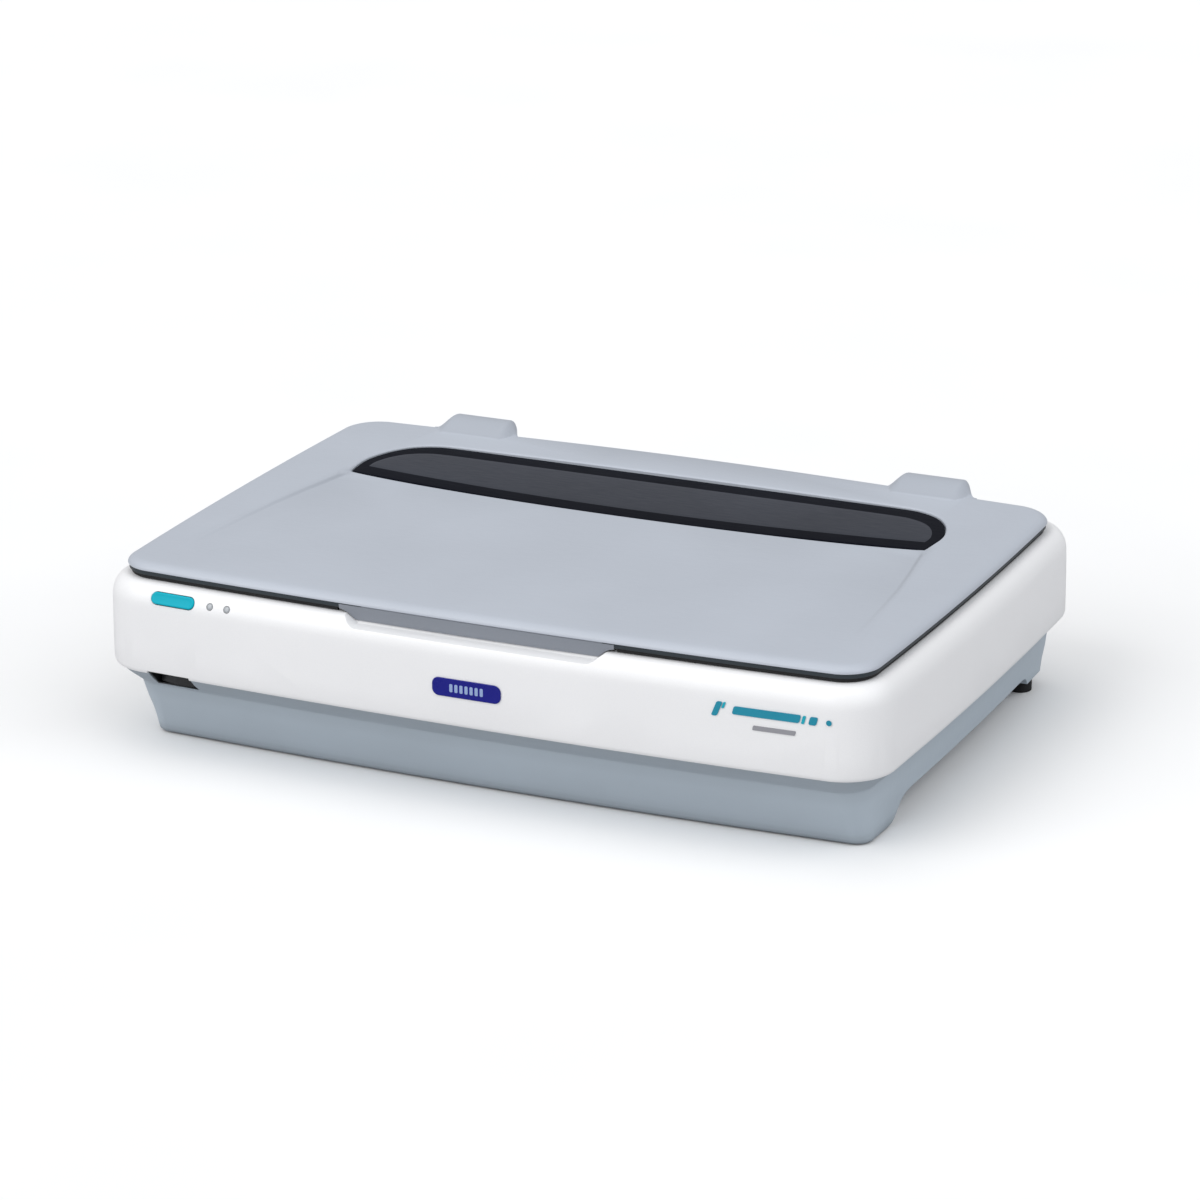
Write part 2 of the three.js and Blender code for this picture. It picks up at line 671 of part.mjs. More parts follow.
// Blocks on a board: x span, y span, top
const boardBlocks = (rows) => rows.map(([x, y, top]) => box(x, y, [PART_Z, top]));

const mainBoard = add(
  box([-150, 60], [-60, 90], BOARD_Z),
  ...boardBlocks([
    [[-60, -26], [-10, 24], 34.5],
    [[-110, -88], [20, 42], 34],
    [[0, 22], [30, 42], 34],
    [[-140, -80], [78, 88], 41],
    [[30, 56], [-50, -38], 40],
  ]),
);
piece("housing", "main_board", mainBoard, PCB);

const powerBoard = add(
  box([90, 235], [-60, 100], BOARD_Z),
  ...boardBlocks([
    [[120, 162], [-10, 32], 58],
    [[108, 222], [76, 80], 56],
    [[180, 214], [-45, -24], 50],
  ]),
  ...[20, 50].map((y) => cylinder("z", [195, y], [PART_Z, 57], 11, 16)),
);
piece("housing", "power_supply_board", powerBoard, PCB);
piece("housing", "interface_board", box([-156, 18], [203, 204.6], [72, 120]), PCB);

const connectorPlate = cut(
  box(around(PLATE_X, 87), [222, 223.4], [72.5, 111.5]),
  portBox(SCSI, [215, 230], PORT_GAP),
  portBox(USB, [215, 230], PORT_GAP),
);
piece("housing", "connector_plate", connectorPlate, STEEL);

const scsiPort = cut(
  add(portBox(SCSI, [205, 226.4]), portBox(SCSI, [205, 221.6], 6, 2)),
  portBox(SCSI, [218, 230], -3, -2),
);
piece("housing", "scsi_port", scsiPort, BLACK);

const usbPort = cut(portBox(USB, [205, 226.4]), portBox(USB, [214, 230], -1.5));
piece("housing", "usb_port", usbPort, STEEL);

const powerInlet = cut(
  add(portBox(POWER_INLET, [203, 227.4]), portBox(POWER_INLET, [205, 222.5], 5, 3)),
  portBox(POWER_INLET, [210, 235], -2.5),
);
piece("housing", "ac_inlet", powerInlet, BLACK);

// ================================================================ carriage
// Shown at its home position, at the left
const CARRIAGE = { x: [-296, -176], y: [-163, 168], z: [64, 116] };
const [CARRIAGE_LEFT] = CARRIAGE.x;
const [CARRIAGE_BOTTOM, CARRIAGE_TOP] = CARRIAGE.z;
const SLIT_X = middle(CARRIAGE.x); // scan line
const LENS_Y = middle(CARRIAGE.y);
const LENS_Z = 95;
const BUSHES = { front_bush_left: -262, front_bush_right: -206 }; // left end of each block
const BUSH_BLOCK = 14; // length of each block along X
const BUSH_R = 9;

function carriageFrame() {
  let frame = cut(
    box(CARRIAGE.x, CARRIAGE.y, CARRIAGE.z),
    box(
      shrink(CARRIAGE.x, 3),
      shrink(CARRIAGE.y, 3),
      [CARRIAGE_BOTTOM + 3, CARRIAGE_TOP + 5],
    ),
  );
  // Keyhole for the transport lock: a round window, open to the left through a slot
  const lockBlock = [CARRIAGE_BOTTOM + 1, 77];
  frame = add(frame, box([CARRIAGE_LEFT + 1, -254], around(LOCK_Y, 24), lockBlock));
  frame = cut(
    frame,
    box([-300, LOCK_X], around(LOCK_Y, 4.6), [60, 72.5]),
    cylinder("z", [LOCK_X, LOCK_Y], [60, 72.5], 12.4, 28),
  );
  for (const x of Object.values(BUSHES)) {
    const block = [x, x + BUSH_BLOCK];
    frame = cut(
      add(frame, box(block, [-187, -162], around(ROD_Z, 13))),
      cylinder("x", ROD_AXIS, shrink(block, -2), BUSH_R + FIT, 24),
    );
  }
  // Rear arm over the slide rail, and the stand under the lens
  return add(
    frame,
    box(around(SLIT_X, 26), [166, 187], [75.4, 80]),
    box([-213, -191], around(LENS_Y, 13.5), [CARRIAGE_BOTTOM + 1, 85.6]),
  );
}
piece("carriage", "carriage_frame", carriageFrame(), BLACK);

for (const [name, x] of Object.entries(BUSHES)) {
  const bush = cut(
    cylinder("x", ROD_AXIS, [x - 1, x + BUSH_BLOCK + 1], BUSH_R, 24),
    cylinder("x", ROD_AXIS, [x - 3, x + BUSH_BLOCK + 4], ROD_R + FIT),
  );
  piece("carriage", name, bush, BRASS);
}

const slider = box(around(SLIT_X, 16), [175.5, 185.5], [70.8, 75.1]);
piece("carriage", "rear_slider", slider, MAT_WHITE);

// Slotted from below for the front run of the belt
const beltClamp = cut(
  box([-245, -227], [-133, -123.8], [49, 63.7]),
  box([-250, -220], [-129.6, -126.9], [45, 59]),
);
piece("carriage", "belt_clamp", beltClamp, BLACK);

const carriageCover = cut(
  box(CARRIAGE.x, CARRIAGE.y, [CARRIAGE_TOP + 0.3, CARRIAGE_TOP + 2.3]),
  box(around(SLIT_X, 5), [-156, 156], [110, 125]),
);
piece("carriage", "carriage_cover", carriageCover, BLACK);

// Lamp in a curved reflector, held between two end plates
const LAMP_AXIS = [-253, 124.2]; // x, z
// (x, z)
const REFLECTOR_PROFILE = [
  [-261, 118.7], [-246, 118.7], [-246, 119.7], [-257.5, 119.7], [-259.6, 121.6],
  [-259.9, 126], [-257.4, 129.2], [-258.2, 129.9], [-261, 126.8],
];
const reflector = cut(
  add(
    prismY(REFLECTOR_PROFILE, [-158, 158]),
    ...[[-161, -158], [158, 161]].map((y) => box([-260.5, -246.5], y, [118.7, 128.6])),
  ),
  cylinder("y", LAMP_AXIS, [-165, 165], 3.5, 18),
);
piece("carriage", "lamp_reflector", reflector, STEEL);
piece("carriage", "lamp_tube", cylinder("y", LAMP_AXIS, [-162, 162], 3.1, 18), LAMP);

// Mirrors run the length of the carriage, turned about Y.
const MIRRORS = [
  { name: "lower_mirror", x: SLIT_X, z: 86, width: 15, degrees: -45 },
  { name: "upper_mirror", x: -289.5, z: 92, width: 17, degrees: 86 },
];
for (const { name, x, z, width, degrees } of MIRRORS) {
  const turn = new THREE.Matrix4().makeRotationY(radians(degrees));
  const mirror = solid(
    new THREE.BoxGeometry(width, length(CARRIAGE.y) - 6.8, 2),
    translation(x, middle(CARRIAGE.y), z).multiply(turn),
  );
  piece("carriage", name, mirror, MIRROR);
}

const lensBarrel = add(
  cylinder("x", [LENS_Y, LENS_Z], [-214, -190], 9, 24),
  cylinder("x", [LENS_Y, LENS_Z], [-218, -213.5], 7.4, 24),
);
piece("carriage", "lens_barrel", lensBarrel, BLACK);

const sensorBoard = add(
  box([-184.2, -182.6], [-48, 53], [71, 112]),
  box([-187, -184], [-33, 38], around(LENS_Z, 4.5)),
);
piece("carriage", "sensor_board", sensorBoard, PCB);

// ================================================================ transport lock
// Slotted head below the floor, shaft, and a cross bar inside the carriage keyhole
const transportLock = add(
  cut(
    cylinder("z", [LOCK_X, LOCK_Y], [17.2, 21.7], 12, 28),
    box(around(LOCK_X, 9), around(LOCK_Y, 1.2), [15, 19.4]),
  ),
  cylinder("z", [LOCK_X, LOCK_Y], [21, 69.5], 4, 16),
  prismZ(roundRect([LOCK_X, LOCK_Y], [22, 6], 2, 2), [66, 70]),
);
piece("transport_lock", "transport_lock", transportLock, BLACK);

// ================================================================ hinges
const POST_HALF = 12; // half width of a hinge post
const hingeCylinder = (hingeX, half, radius, segments) =>
  cylinder("x", [HINGE_Y, HINGE_Z], around(hingeX, half), radius, segments);

const hingeSocket = (hingeX) =>
  cut(
    box(around(hingeX, 19), [206.8, 222.6], [79, 130.7]),
    box(around(hingeX, POST_HALF + 0.5), around(HINGE_Y, 5), [70, 140]),
  );

function hingePost(hingeX) {
  const x = around(hingeX, POST_HALF);
  const neck = mirrored([[4.5, 140], [5.5, HINGE_Z]], HINGE_Y);
  const post = add(
    box(x, around(HINGE_Y, 4.5), [77, 142]),
    hingeCylinder(hingeX, POST_HALF, 6.5, 24),
    prismX(neck, x),
  );
  return cut(post, hingeCylinder(hingeX, POST_HALF + 1, PIN_R + FIT, 18));
}

// Ear arm from the bracket plate to the hinge axis, (y, z)
const EAR_ARM = [
  [198, 144.6], [211, 141.6], [HINGE_Y, 141.4],
  [HINGE_Y, 150], [203, 149.6], [198, 146.6],
];
function hingeBracket(hingeX) {
  const ears = [
    [hingeX - 18.5, hingeX - 13.2],
    [hingeX + 13.2, hingeX + 18.5],
  ].map((x) => add(cylinder("x", [HINGE_Y, HINGE_Z], x, 6.2, 24), prismX(EAR_ARM, x)));
  return cut(
    add(box(around(hingeX, 20), [168, 202], [144.6, 146.6]), ...ears),
    hingeCylinder(hingeX, 30, PIN_R + FIT, 18),
  );
}

for (const [side, hingeX] of [["left", -HINGE_X], ["right", HINGE_X]]) {
  piece("housing", `${side}_hinge_socket`, hingeSocket(hingeX), BLACK);
  piece("hinge_posts", `${side}_hinge_post`, hingePost(hingeX), BLACK);
  piece("lid", `${side}_hinge_pin`, hingeCylinder(hingeX, 21.5, PIN_R, 18), STEEL);
  piece("lid", `${side}_hinge_bracket`, hingeBracket(hingeX), STEEL);
}

// ================================================================ lid
const LID_IN = 13; // lid edge set in from the body, front and sides
const LID_REAR = { y: 213.5, radius: 5100 }; // rear edge on the centre line, plan radius
const LID_BOTTOM = 141.5;
const LID_TOP = 151;
const LID_CORNERS = [29, 33]; // front and rear corner radii

const lidOutline = (inset) =>
  outline(
    LID_IN + inset,
    LID_IN + inset,
    { ...LID_REAR, inset },
    LID_CORNERS.map((radius) => Math.max(4, radius - inset)),
  );
// Rows: z, inset
const lidLoft = (rows) => loft(rows.map(([z, inset]) => [z, lidOutline(inset)]));

const LID_OUTER = [
  [LID_BOTTOM, 1.1], [142.3, 0.3], [143.6, 0], [146, 0.2],
  [148, 1.2], [149.6, 3], [150.6, 5.6], [LID_TOP, 9],
];
const LID_INNER = [[LID_BOTTOM - 1, 2.4], [146.5, 2.6], [148.6, 5.2]];

// Dark inlay near the back: a bowed front edge and rounded back corners
const INLAY = { halfX: 254, centreY: 103, halfY: 57 }; // nominal size, for growing it
const INLAY_FRONT = { halfX: 252, middleY: 50.5, endY: 69.5, steps: 12 };
const INLAY_BACK = 159;
// Right end, front to back, (x, y)
const INLAY_END = [
  [254, 76], [253.5, 98], [250, 116], [243, 133],
  [232, 147], [216, 156], [196, INLAY_BACK],
];
function inlayOutline(grow = 0) {
  const { halfX, middleY, endY, steps } = INLAY_FRONT;
  const front = Array.from({ length: steps + 1 }, (_, i) => {
    const x = -halfX + (2 * halfX * i) / steps;
    return [x, middleY + (endY - middleY) * (x / halfX) ** 2];
  });
  const back = [130, 65, 0, -65, -130].map((x) => [x, INLAY_BACK + 0.6]);
  const leftEnd = [...INLAY_END].reverse().map(([x, y]) => [-x, y]);
  return [...front, ...INLAY_END, ...back, ...leftEnd].map(([x, y]) => [
    x * (1 + grow / INLAY.halfX),
    INLAY.centreY + (y - INLAY.centreY) * (1 + grow / INLAY.halfY),
  ]);
}

// Centre panel seen from above: distance from centre, y
const PANEL_OUTLINE = mirrored([[273, -190], [270, -60], [264, 20], [258, 80]]);
// What is cut away so that the panel sinks towards the inlay, (y, z)
const PANEL_SLOPE = [[-186, LID_TOP + 0.001], [80, 149.5], [80, 155], [-186, 155]];

// Hinge bumps: side view (y, z), and rear view as distance from the hinge centre, z
const BUMP_SIDE = [
  [184, 150.4], [191, 152.2], [199, 155.3], [206, 157.9], [211, 159.2],
  [216, 159.6], [220.6, 159.1], [224.4, 157.4], [227, 154.6], [228.6, 151],
  [228.8, 146.4], [227.4, 142.8], [224.6, 140.6], [220, 140], [184, 142.4],
];
const BUMP_REAR = [[41, 138], [41, 147.5], [39.4, 150.8], [27.6, 158.4], [24.6, HEIGHT]];

const hingeBump = (hingeX) =>
  both(
    prismX(BUMP_SIDE, around(hingeX, 45)),
    prismY(mirrored(BUMP_REAR, hingeX), [180, 230]),
  );

// Room under a bump for the pin, bracket, post and recess edges
function hingeRoom(hingeX) {
  const bracket = around(hingeX, 22.5);
  return [
    hingeCylinder(hingeX, 22.5, 9, 24),
    box(bracket, [196.5, 216], [135, 151.2]),
    box(bracket, [166, 200], [135, 146.9]),
    box(around(hingeX, 44), [182, 209.2], [135, 144.5]),
    box(bracket, [206, 224], [135, HINGE_Z]),
    box(around(hingeX, 13.2), [HINGE_Y, 235], [135, 152.4]),
    ...[-31.5, 31.5].map((offset) =>
      box(around(hingeX + offset, 6.9), [186, 224], [135, 148.4]),
    ),
  ];
}

function lidShell() {
  const panelSink = both(prismX(PANEL_SLOPE, [-300, 300]), prismZ(PANEL_OUTLINE, [140, 160]));
  let lid = cut(lidLoft(LID_OUTER), lidLoft(LID_INNER), panelSink);
  // Tray for the inlay
  lid = add(lid, prismZ(inlayOutline(2.4), [144.9, 149.2]));
  lid = cut(lid, prismZ(inlayOutline(), [147, 160]));
  // Finger lip at the front
  const skirt = cut(prismZ(lidOutline(0.3), [132, 142.6]), prismZ(lidOutline(2.4), [130, 145]));
  lid = add(lid, both(skirt, box(around(0, LIP_HALF), [-230, -190], [130, 145])));
  for (const hingeX of [-HINGE_X, HINGE_X])
    lid = cut(add(lid, hingeBump(hingeX)), ...hingeRoom(hingeX));
  return lid;
}
piece("lid", "lid_shell", lidShell(), LID_GREY);
piece("lid", "lid_window", prismZ(inlayOutline(-0.6), [147.3, 149.2]), SMOKE);

const innerPanel = cut(
  prismZ(lidOutline(3), [142.1, 144.2]),
  ...[-HINGE_X, HINGE_X].map((hingeX) => box(around(hingeX, 24), [192, 230], [140, 150])),
);
piece("lid", "lid_inner_panel", innerPanel, WHITE);

const documentMat = prismZ(roundRect([0, 0], [435, 308], 3, 2), [136, 141.8]);
piece("lid", "document_mat", documentMat, MAT_WHITE);

// Every piece stays within the stated height and width.
const size = new THREE.Box3().setFromObject(scanner).getSize(new THREE.Vector3());
if (size.z > HEIGHT + 1 || size.x > WIDTH + 1)
  throw new Error("the object is larger than its driving dimensions");

export default scanner;
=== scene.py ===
"""Looks for a large-format flatbed scanner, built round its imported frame.

The scanner stands on the floor at z = 0 with its front towards -Y and its right side towards +X.
Shapes are given in millimetres. Meshes, matrices and material distances are in metres.
"""

import math
import random
from contextlib import contextmanager

import bmesh
import bpy
import numpy as np
from mathutils import Matrix, Vector
from mathutils.geometry import delaunay_2d_cdt


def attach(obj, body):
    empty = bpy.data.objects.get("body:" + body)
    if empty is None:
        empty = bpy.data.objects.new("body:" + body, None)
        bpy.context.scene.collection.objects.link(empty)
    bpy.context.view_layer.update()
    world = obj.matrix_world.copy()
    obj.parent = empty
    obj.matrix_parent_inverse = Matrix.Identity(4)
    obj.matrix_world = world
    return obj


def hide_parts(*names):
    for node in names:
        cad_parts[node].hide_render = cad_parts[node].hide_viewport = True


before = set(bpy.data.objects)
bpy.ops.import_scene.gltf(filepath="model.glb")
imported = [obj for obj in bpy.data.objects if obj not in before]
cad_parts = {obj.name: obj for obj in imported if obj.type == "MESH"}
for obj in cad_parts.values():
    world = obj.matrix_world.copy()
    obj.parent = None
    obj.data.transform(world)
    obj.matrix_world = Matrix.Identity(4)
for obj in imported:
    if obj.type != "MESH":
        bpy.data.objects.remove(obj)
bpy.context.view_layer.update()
MM = 0.001


def bow_radius(half_chord, bow):
    return (half_chord**2 + bow**2) / (2 * bow)


# ------------------------------------------------------------------ driving sizes
HALF_WIDTH, HALF_DEPTH = 328.0, 229.0
FRONT_RADIUS = bow_radius(HALF_WIDTH, 9.5)
SIDE_RADIUS = bow_radius(HALF_DEPTH, 5.0)
REAR_RADIUS = bow_radius(HALF_WIDTH, 4.0)
CORNER_RADIUS = 42.0

CREASE_Z, CREASE_INSET = 50.0, 21  # foot of the tray's flare, on its front face
FACE_SLOPE = 0.5  # inset gained per millimetre below the crease
SHOULDER_Z, DECK_Z = 120.0, 138.0
SHOULDER_RUN, SHOULDER_INSET = 13.5, 14.0

LID_INSET, LID_TOP_Z = 13.0, 151.0
LID_REAR_Y, LID_REAR_RADIUS = 213.5, 5100.0
LID_FRONT_CORNER, LID_REAR_CORNER = 29, 33
HINGE_X, HINGE_Y, HINGE_Z = 202.0, 215.0, 147.0
HINGE_BORE = 3.3

SWITCH_X = -260.0
BUTTON_X, BUTTON_SIZE = -254.0, (38, 9.6)
PANEL_DEG = 31.0  # how far up the shoulder the controls sit
LIGHTS = {"ready_light_lens": -221.0, "error_light_lens": -206.0}
BADGE_Z = 97

SCOOP_Y, SCOOP_Z, SCOOP_RADIUS = -215.5, 136.5, 6  # hollow in the deck's front edge
SCOOP_CLEARANCE = 0.8

LOCK_X, LOCK_Y = -272.0, -40.0
ROD_Y, ROD_Z, ROD_RADIUS = -174.0, 84.0, 5.0
BELT_Y, DRIVE_X, IDLER_X, PULLEY_RADIUS = -120.0, 258.0, -276.0, 7.4
LAMP_X, LAMP_Z = -253.0, 124.2

BOARD_Z, BOARD_THICK = 30, 1.6
PARTS_Z = 31.62  # a hair above the flat boards
MAIN_HOLES = ((-144, -54), (54, -54), (-144, 70), (54, 84))
SUPPLY_HOLES = ((96, -54), (229, -54), (96, 94), (229, 94))

# node: (x, y, radius, top of the foot)
FEET = {
    "foot_front_left": (-272, -152, 9, 2.6),
    "foot_front_right": (272, -152, 9, 2.6),
    "foot_rear_left": (-289.5, 188.5, 9.2, 13.4),
    "foot_rear_right": (289.5, 188.5, 9.2, 13.4),
}


# ------------------------------------------------------------------ plan outlines
def front_y(x, inset=0.0):
    return -HALF_DEPTH + FRONT_RADIUS - math.sqrt((FRONT_RADIUS - inset) ** 2 - x * x)


def corner_centre(first, second, radius, guess):
    """Centre of the corner arc that touches two arcs from inside, by Newton's method."""
    (centre_a, radius_a), (centre_b, radius_b) = first, second
    x, y = guess
    for _ in range(30):
        ax, ay, bx, by = x - centre_a[0], y - centre_a[1], x - centre_b[0], y - centre_b[1]
        dist_a, dist_b = math.hypot(ax, ay), math.hypot(bx, by)
        error_a, error_b = dist_a - (radius_a - radius), dist_b - (radius_b - radius)
        ax, ay, bx, by = ax / dist_a, ay / dist_a, bx / dist_b, by / dist_b
        det = ax * by - ay * bx
        x -= (error_a * by - error_b * ay) / det
        y -= (error_b * ax - error_a * bx) / det
    return x, y


def bearing(centre, point):
    return math.atan2(point[1] - centre[1], point[0] - centre[0])


def sweep(centre, radius, start, end, steps):
    """Points on an arc the short way round, without the last one."""
    turn = end - start
    while turn < -math.pi:
        turn += 2 * math.pi
    while turn > math.pi:
        turn -= 2 * math.pi
    angles = [start + turn * k / steps for k in range(steps)]
    return [(centre[0] + radius * math.cos(a), centre[1] + radius * math.sin(a)) for a in angles]


def outline(front, side, rear, corners, steps=(14, 40, 28)):
    """Rounded, bowed rectangle: the body's outline moved in by its front, side and rear insets.

    rear may be (y on the centre line, plan radius, inset); corners may be (front, rear) radii.
    steps are for each corner, for the front and rear, and for each side.
    """
    if isinstance(rear, tuple):
        centre_y, rear_radius, inset = rear
        rear_arc = ((0.0, centre_y - rear_radius), rear_radius - inset)
    else:
        rear_arc = ((0.0, HALF_DEPTH - REAR_RADIUS), REAR_RADIUS - rear)
    rear_y = rear_arc[0][1] + rear_arc[1]
    front_r, rear_r = corners if isinstance(corners, tuple) else (corners, corners)
    radii = (front_r, rear_r, rear_r, front_r)
    arcs = [
        ((0.0, -HALF_DEPTH + FRONT_RADIUS), FRONT_RADIUS - front),
        ((HALF_WIDTH - SIDE_RADIUS, 0.0), SIDE_RADIUS - side),
        rear_arc,
        ((-HALF_WIDTH + SIDE_RADIUS, 0.0), SIDE_RADIUS - side),
    ]
    front_guess = (HALF_WIDTH - side - front_r, -HALF_DEPTH + front + front_r + 6)
    rear_guess = (HALF_WIDTH - side - rear_r, rear_y - rear_r - 3)
    guesses = [front_guess, rear_guess] + [(-x, y) for x, y in (rear_guess, front_guess)]
    centres = [
        corner_centre(arcs[i], arcs[(i + 1) % 4], radii[i], guesses[i]) for i in range(4)
    ]
    points = []
    for i in range(4):
        centre, radius = arcs[i]
        before, after = centres[i - 1], centres[i]
        start, end = bearing(centre, before), bearing(centre, after)
        points += sweep(centre, radius, start, end, steps[1 + i % 2])
        start, end = bearing(centre, after), bearing(arcs[(i + 1) % 4][0], after)
        points += sweep(after, radii[i], start, end, steps[0])
    return points


def even_outline(inset, **options):
    return outline(inset, inset, inset, max(4.0, CORNER_RADIUS - inset), **options)


def lid_outline(inset, **options):
    corners = (max(4.0, LID_FRONT_CORNER - inset), max(4.0, LID_REAR_CORNER - inset))
    rear = (LID_REAR_Y, LID_REAR_RADIUS, inset)
    return outline(LID_INSET + inset, LID_INSET + inset, rear, corners, **options)


def arc(x, y, radius, degrees):
    angles = [math.radians(a) for a in degrees]
    return [(x + radius * math.cos(a), y + radius * math.sin(a)) for a in angles]


def round_rect(x, y, width, height, radius, steps=8):
    points = []
    for sx, sy, start in ((1, 1, 0), (-1, 1, 90), (-1, -1, 180), (1, -1, 270)):
        degrees = [start + 90 * i / steps for i in range(steps + 1)]
        centre = (x + sx * (width / 2 - radius), y + sy * (height / 2 - radius))
        points += arc(*centre, radius, degrees)
    return points


def capsule(width, height, grow=0.0, steps=14):
    width, height = width + 2 * grow, height + 2 * grow
    return round_rect(0, 0, width, height, height / 2 - 0.01, steps)


def mirrored(points):
    """A right-hand run of points, with its mirror image put before it."""
    return [(-x, other) for x, other in points[::-1]] + points


def spline(points, steps):
    """Catmull-Rom curve through the points."""
    last = len(points) - 1
    curve = []
    for k in range(last):
        near = [points[min(max(k + j, 0), last)] for j in (-1, 0, 1, 2)]
        for i in range(steps):
            t = i / steps
            curve.append(tuple(
                0.5 * (2 * b + (c - a) * t + (2 * a - 5 * b + 4 * c - d) * t * t
                       + (3 * b - a - 3 * c + d) * t**3)
                for a, b, c, d in zip(*near)
            ))
    return curve + [tuple(points[-1])]


def smoothstep(t):
    t = min(1.0, max(0.0, t))
    return t * t * (3 - 2 * t)


# ------------------------------------------------------------------ mesh tools
@contextmanager
def editing(mesh):
    edit = bmesh.new()
    edit.from_mesh(mesh)
    yield edit
    edit.to_mesh(mesh)
    edit.free()


def new_object(mesh):
    made = bpy.data.objects.new("part", mesh)
    bpy.context.scene.collection.objects.link(made)
    return made


def solid(verts, faces):
    """An object from millimetre vertices, with its faces turned outward."""
    mesh = bpy.data.meshes.new("part")
    mesh.from_pydata([(x * MM, y * MM, z * MM) for x, y, z in verts], [], faces)
    mesh.validate()
    with editing(mesh) as edit:
        bmesh.ops.recalc_face_normals(edit, faces=edit.faces)
    return new_object(mesh)


def side_faces(rings, count):
    """Quads between rings of count vertices each."""
    return [
        (k * count + i, k * count + (i + 1) % count,
         (k + 1) * count + (i + 1) % count, (k + 1) * count + i)
        for k in range(rings - 1) for i in range(count)
    ]


def closed_faces(rings, count):
    first, last = range(count), range((rings - 1) * count, rings * count)
    return side_faces(rings, count) + [tuple(first)[::-1], tuple(last)]


def stack(shape, rows, **options):
    """Closed solid through shape(*rest) at each row's height; rows are (z, *rest), upward."""
    rings = [(z, shape(*rest, **options)) for z, *rest in rows]
    verts = [(x, y, z) for z, points in rings for x, y in points]
    return solid(verts, closed_faces(len(rings), len(rings[0][1])))


def prism(points, low, high, axis="z"):
    """Straight extrusion. Points are (x, y), (y, z) or (x, z) for axis z, x or y."""
    place = {
        "z": lambda a, b, h: (a, b, h),
        "x": lambda a, b, h: (h, a, b),
        "y": lambda a, b, h: (a, h, b),
    }[axis]
    verts = [place(a, b, h) for h in (low, high) for a, b in points]
    return solid(verts, closed_faces(2, len(points)))


def box(x0, x1, y0, y1, z0, z1):
    return prism([(x0, y0), (x1, y0), (x1, y1), (x0, y1)], z0, z1)


def lathe(profile, origin=(0, 0, 0), axis="z", segments=64):
    """Revolves (radius, height) pairs that start and end on the axis or close on themselves."""
    verts, faces, rows = [], [], []
    ox, oy, oz = origin

    def place(radius, height, angle):
        u, v = radius * math.cos(angle), radius * math.sin(angle)
        if axis == "z":
            return (ox + u, oy + v, oz + height)
        if axis == "x":
            return (ox + height, oy + u, oz + v)
        return (ox + u, oy + height, oz + v)

    for radius, height in profile:
        if radius < 1e-6:
            rows.append([len(verts)] * segments)
            verts.append(place(0, height, 0))
        else:
            rows.append(list(range(len(verts), len(verts) + segments)))
            verts += [place(radius, height, 2 * math.pi * k / segments) for k in range(segments)]
    if profile[0][0] > 1e-6:
        rows.append(rows[0])
    for low, high in zip(rows, rows[1:]):
        for k in range(segments):
            j = (k + 1) % segments
            face = tuple(dict.fromkeys((low[k], low[j], high[j], high[k])))
            if len(face) > 2:
                faces.append(face)
    return solid(verts, faces)


def two_ended(half, middle=0.0):
    """Lathe profile with both ends alike, from (radius, distance from the middle) pairs."""
    return [(r, middle - h) for r, h in half] + [(r, middle + h) for r, h in half[::-1]]


def rod(axis, a, b, low, high, radius, segments=48, chamfer=0.3):
    """Turned bar with a small chamfer, through (a, b) in the other two coordinates."""
    chamfer = min(chamfer, radius * 0.4, (high - low) * 0.3)
    part = 0.29 * chamfer
    profile = [
        (0, low), (radius - chamfer, low), (radius - part, low + part), (radius, low + chamfer),
        (radius, high - chamfer), (radius - part, high - part), (radius - chamfer, high), (0, high),
    ]
    origin = {"z": (a, b, 0), "x": (0, a, b), "y": (a, 0, b)}[axis]
    return lathe(profile, origin, axis, segments)


def bore(axis, a, b, low, high, radius, segments=48):
    return rod(axis, a, b, low, high, radius, segments, chamfer=0.05)


def bake(shape):
    """Applies the modifiers."""
    graph = bpy.context.evaluated_depsgraph_get()
    graph.update()
    mesh = bpy.data.meshes.new_from_object(shape.evaluated_get(graph))
    old = shape.data
    shape.modifiers.clear()
    shape.data = mesh
    bpy.data.meshes.remove(old)
    return shape


def combine(shape, tools, operation):
    """Joins or cuts with closed meshes one after another, and uses them up."""
    for tool in tools:
        modifier = shape.modifiers.new("boolean", "BOOLEAN")
        modifier.operation, modifier.solver, modifier.object = operation, "MANIFOLD", tool
        bake(shape)
        bpy.data.objects.remove(tool)
    return shape


def cut(shape, *tools):
    return combine(shape, tools, "DIFFERENCE")


def add(shape, *tools):
    return combine(shape, tools, "UNION")


def common(shape, *tools):
    return combine(shape, tools, "INTERSECT")


def duplicate(shape):
    made = shape.copy()
    made.data = shape.data.copy()
    bpy.context.scene.collection.objects.link(made)
    return made


def tidy(shape, angle=0.4):
    """Welds doubles and dissolves the flat triangles that a boolean leaves."""
    weld = 0.004 * MM
    with editing(shape.data) as edit:
        bmesh.ops.remove_doubles(edit, verts=edit.verts, dist=weld)
        bmesh.ops.dissolve_degenerate(edit, edges=edit.edges, dist=weld)
        bmesh.ops.dissolve_limit(
            edit, angle_limit=math.radians(angle), verts=edit.verts, edges=edit.edges,
            delimit={"NORMAL"},
        )
    return shape


def edge_bevel(shape, width, angle, segments=2):
    modifier = shape.modifiers.new("edge", "BEVEL")
    modifier.width, modifier.segments = width * MM, segments
    modifier.limit_method, modifier.angle_limit = "ANGLE", math.radians(angle)
    modifier.use_clamp_overlap = True
    return modifier


def soften(shape, width, angle, segments=2):
    """Rounds the edges sharper than the angle a little, as a moulding has them."""
    edge_bevel(shape, width, angle, segments).miter_outer = "MITER_ARC"
    return bake(shape)


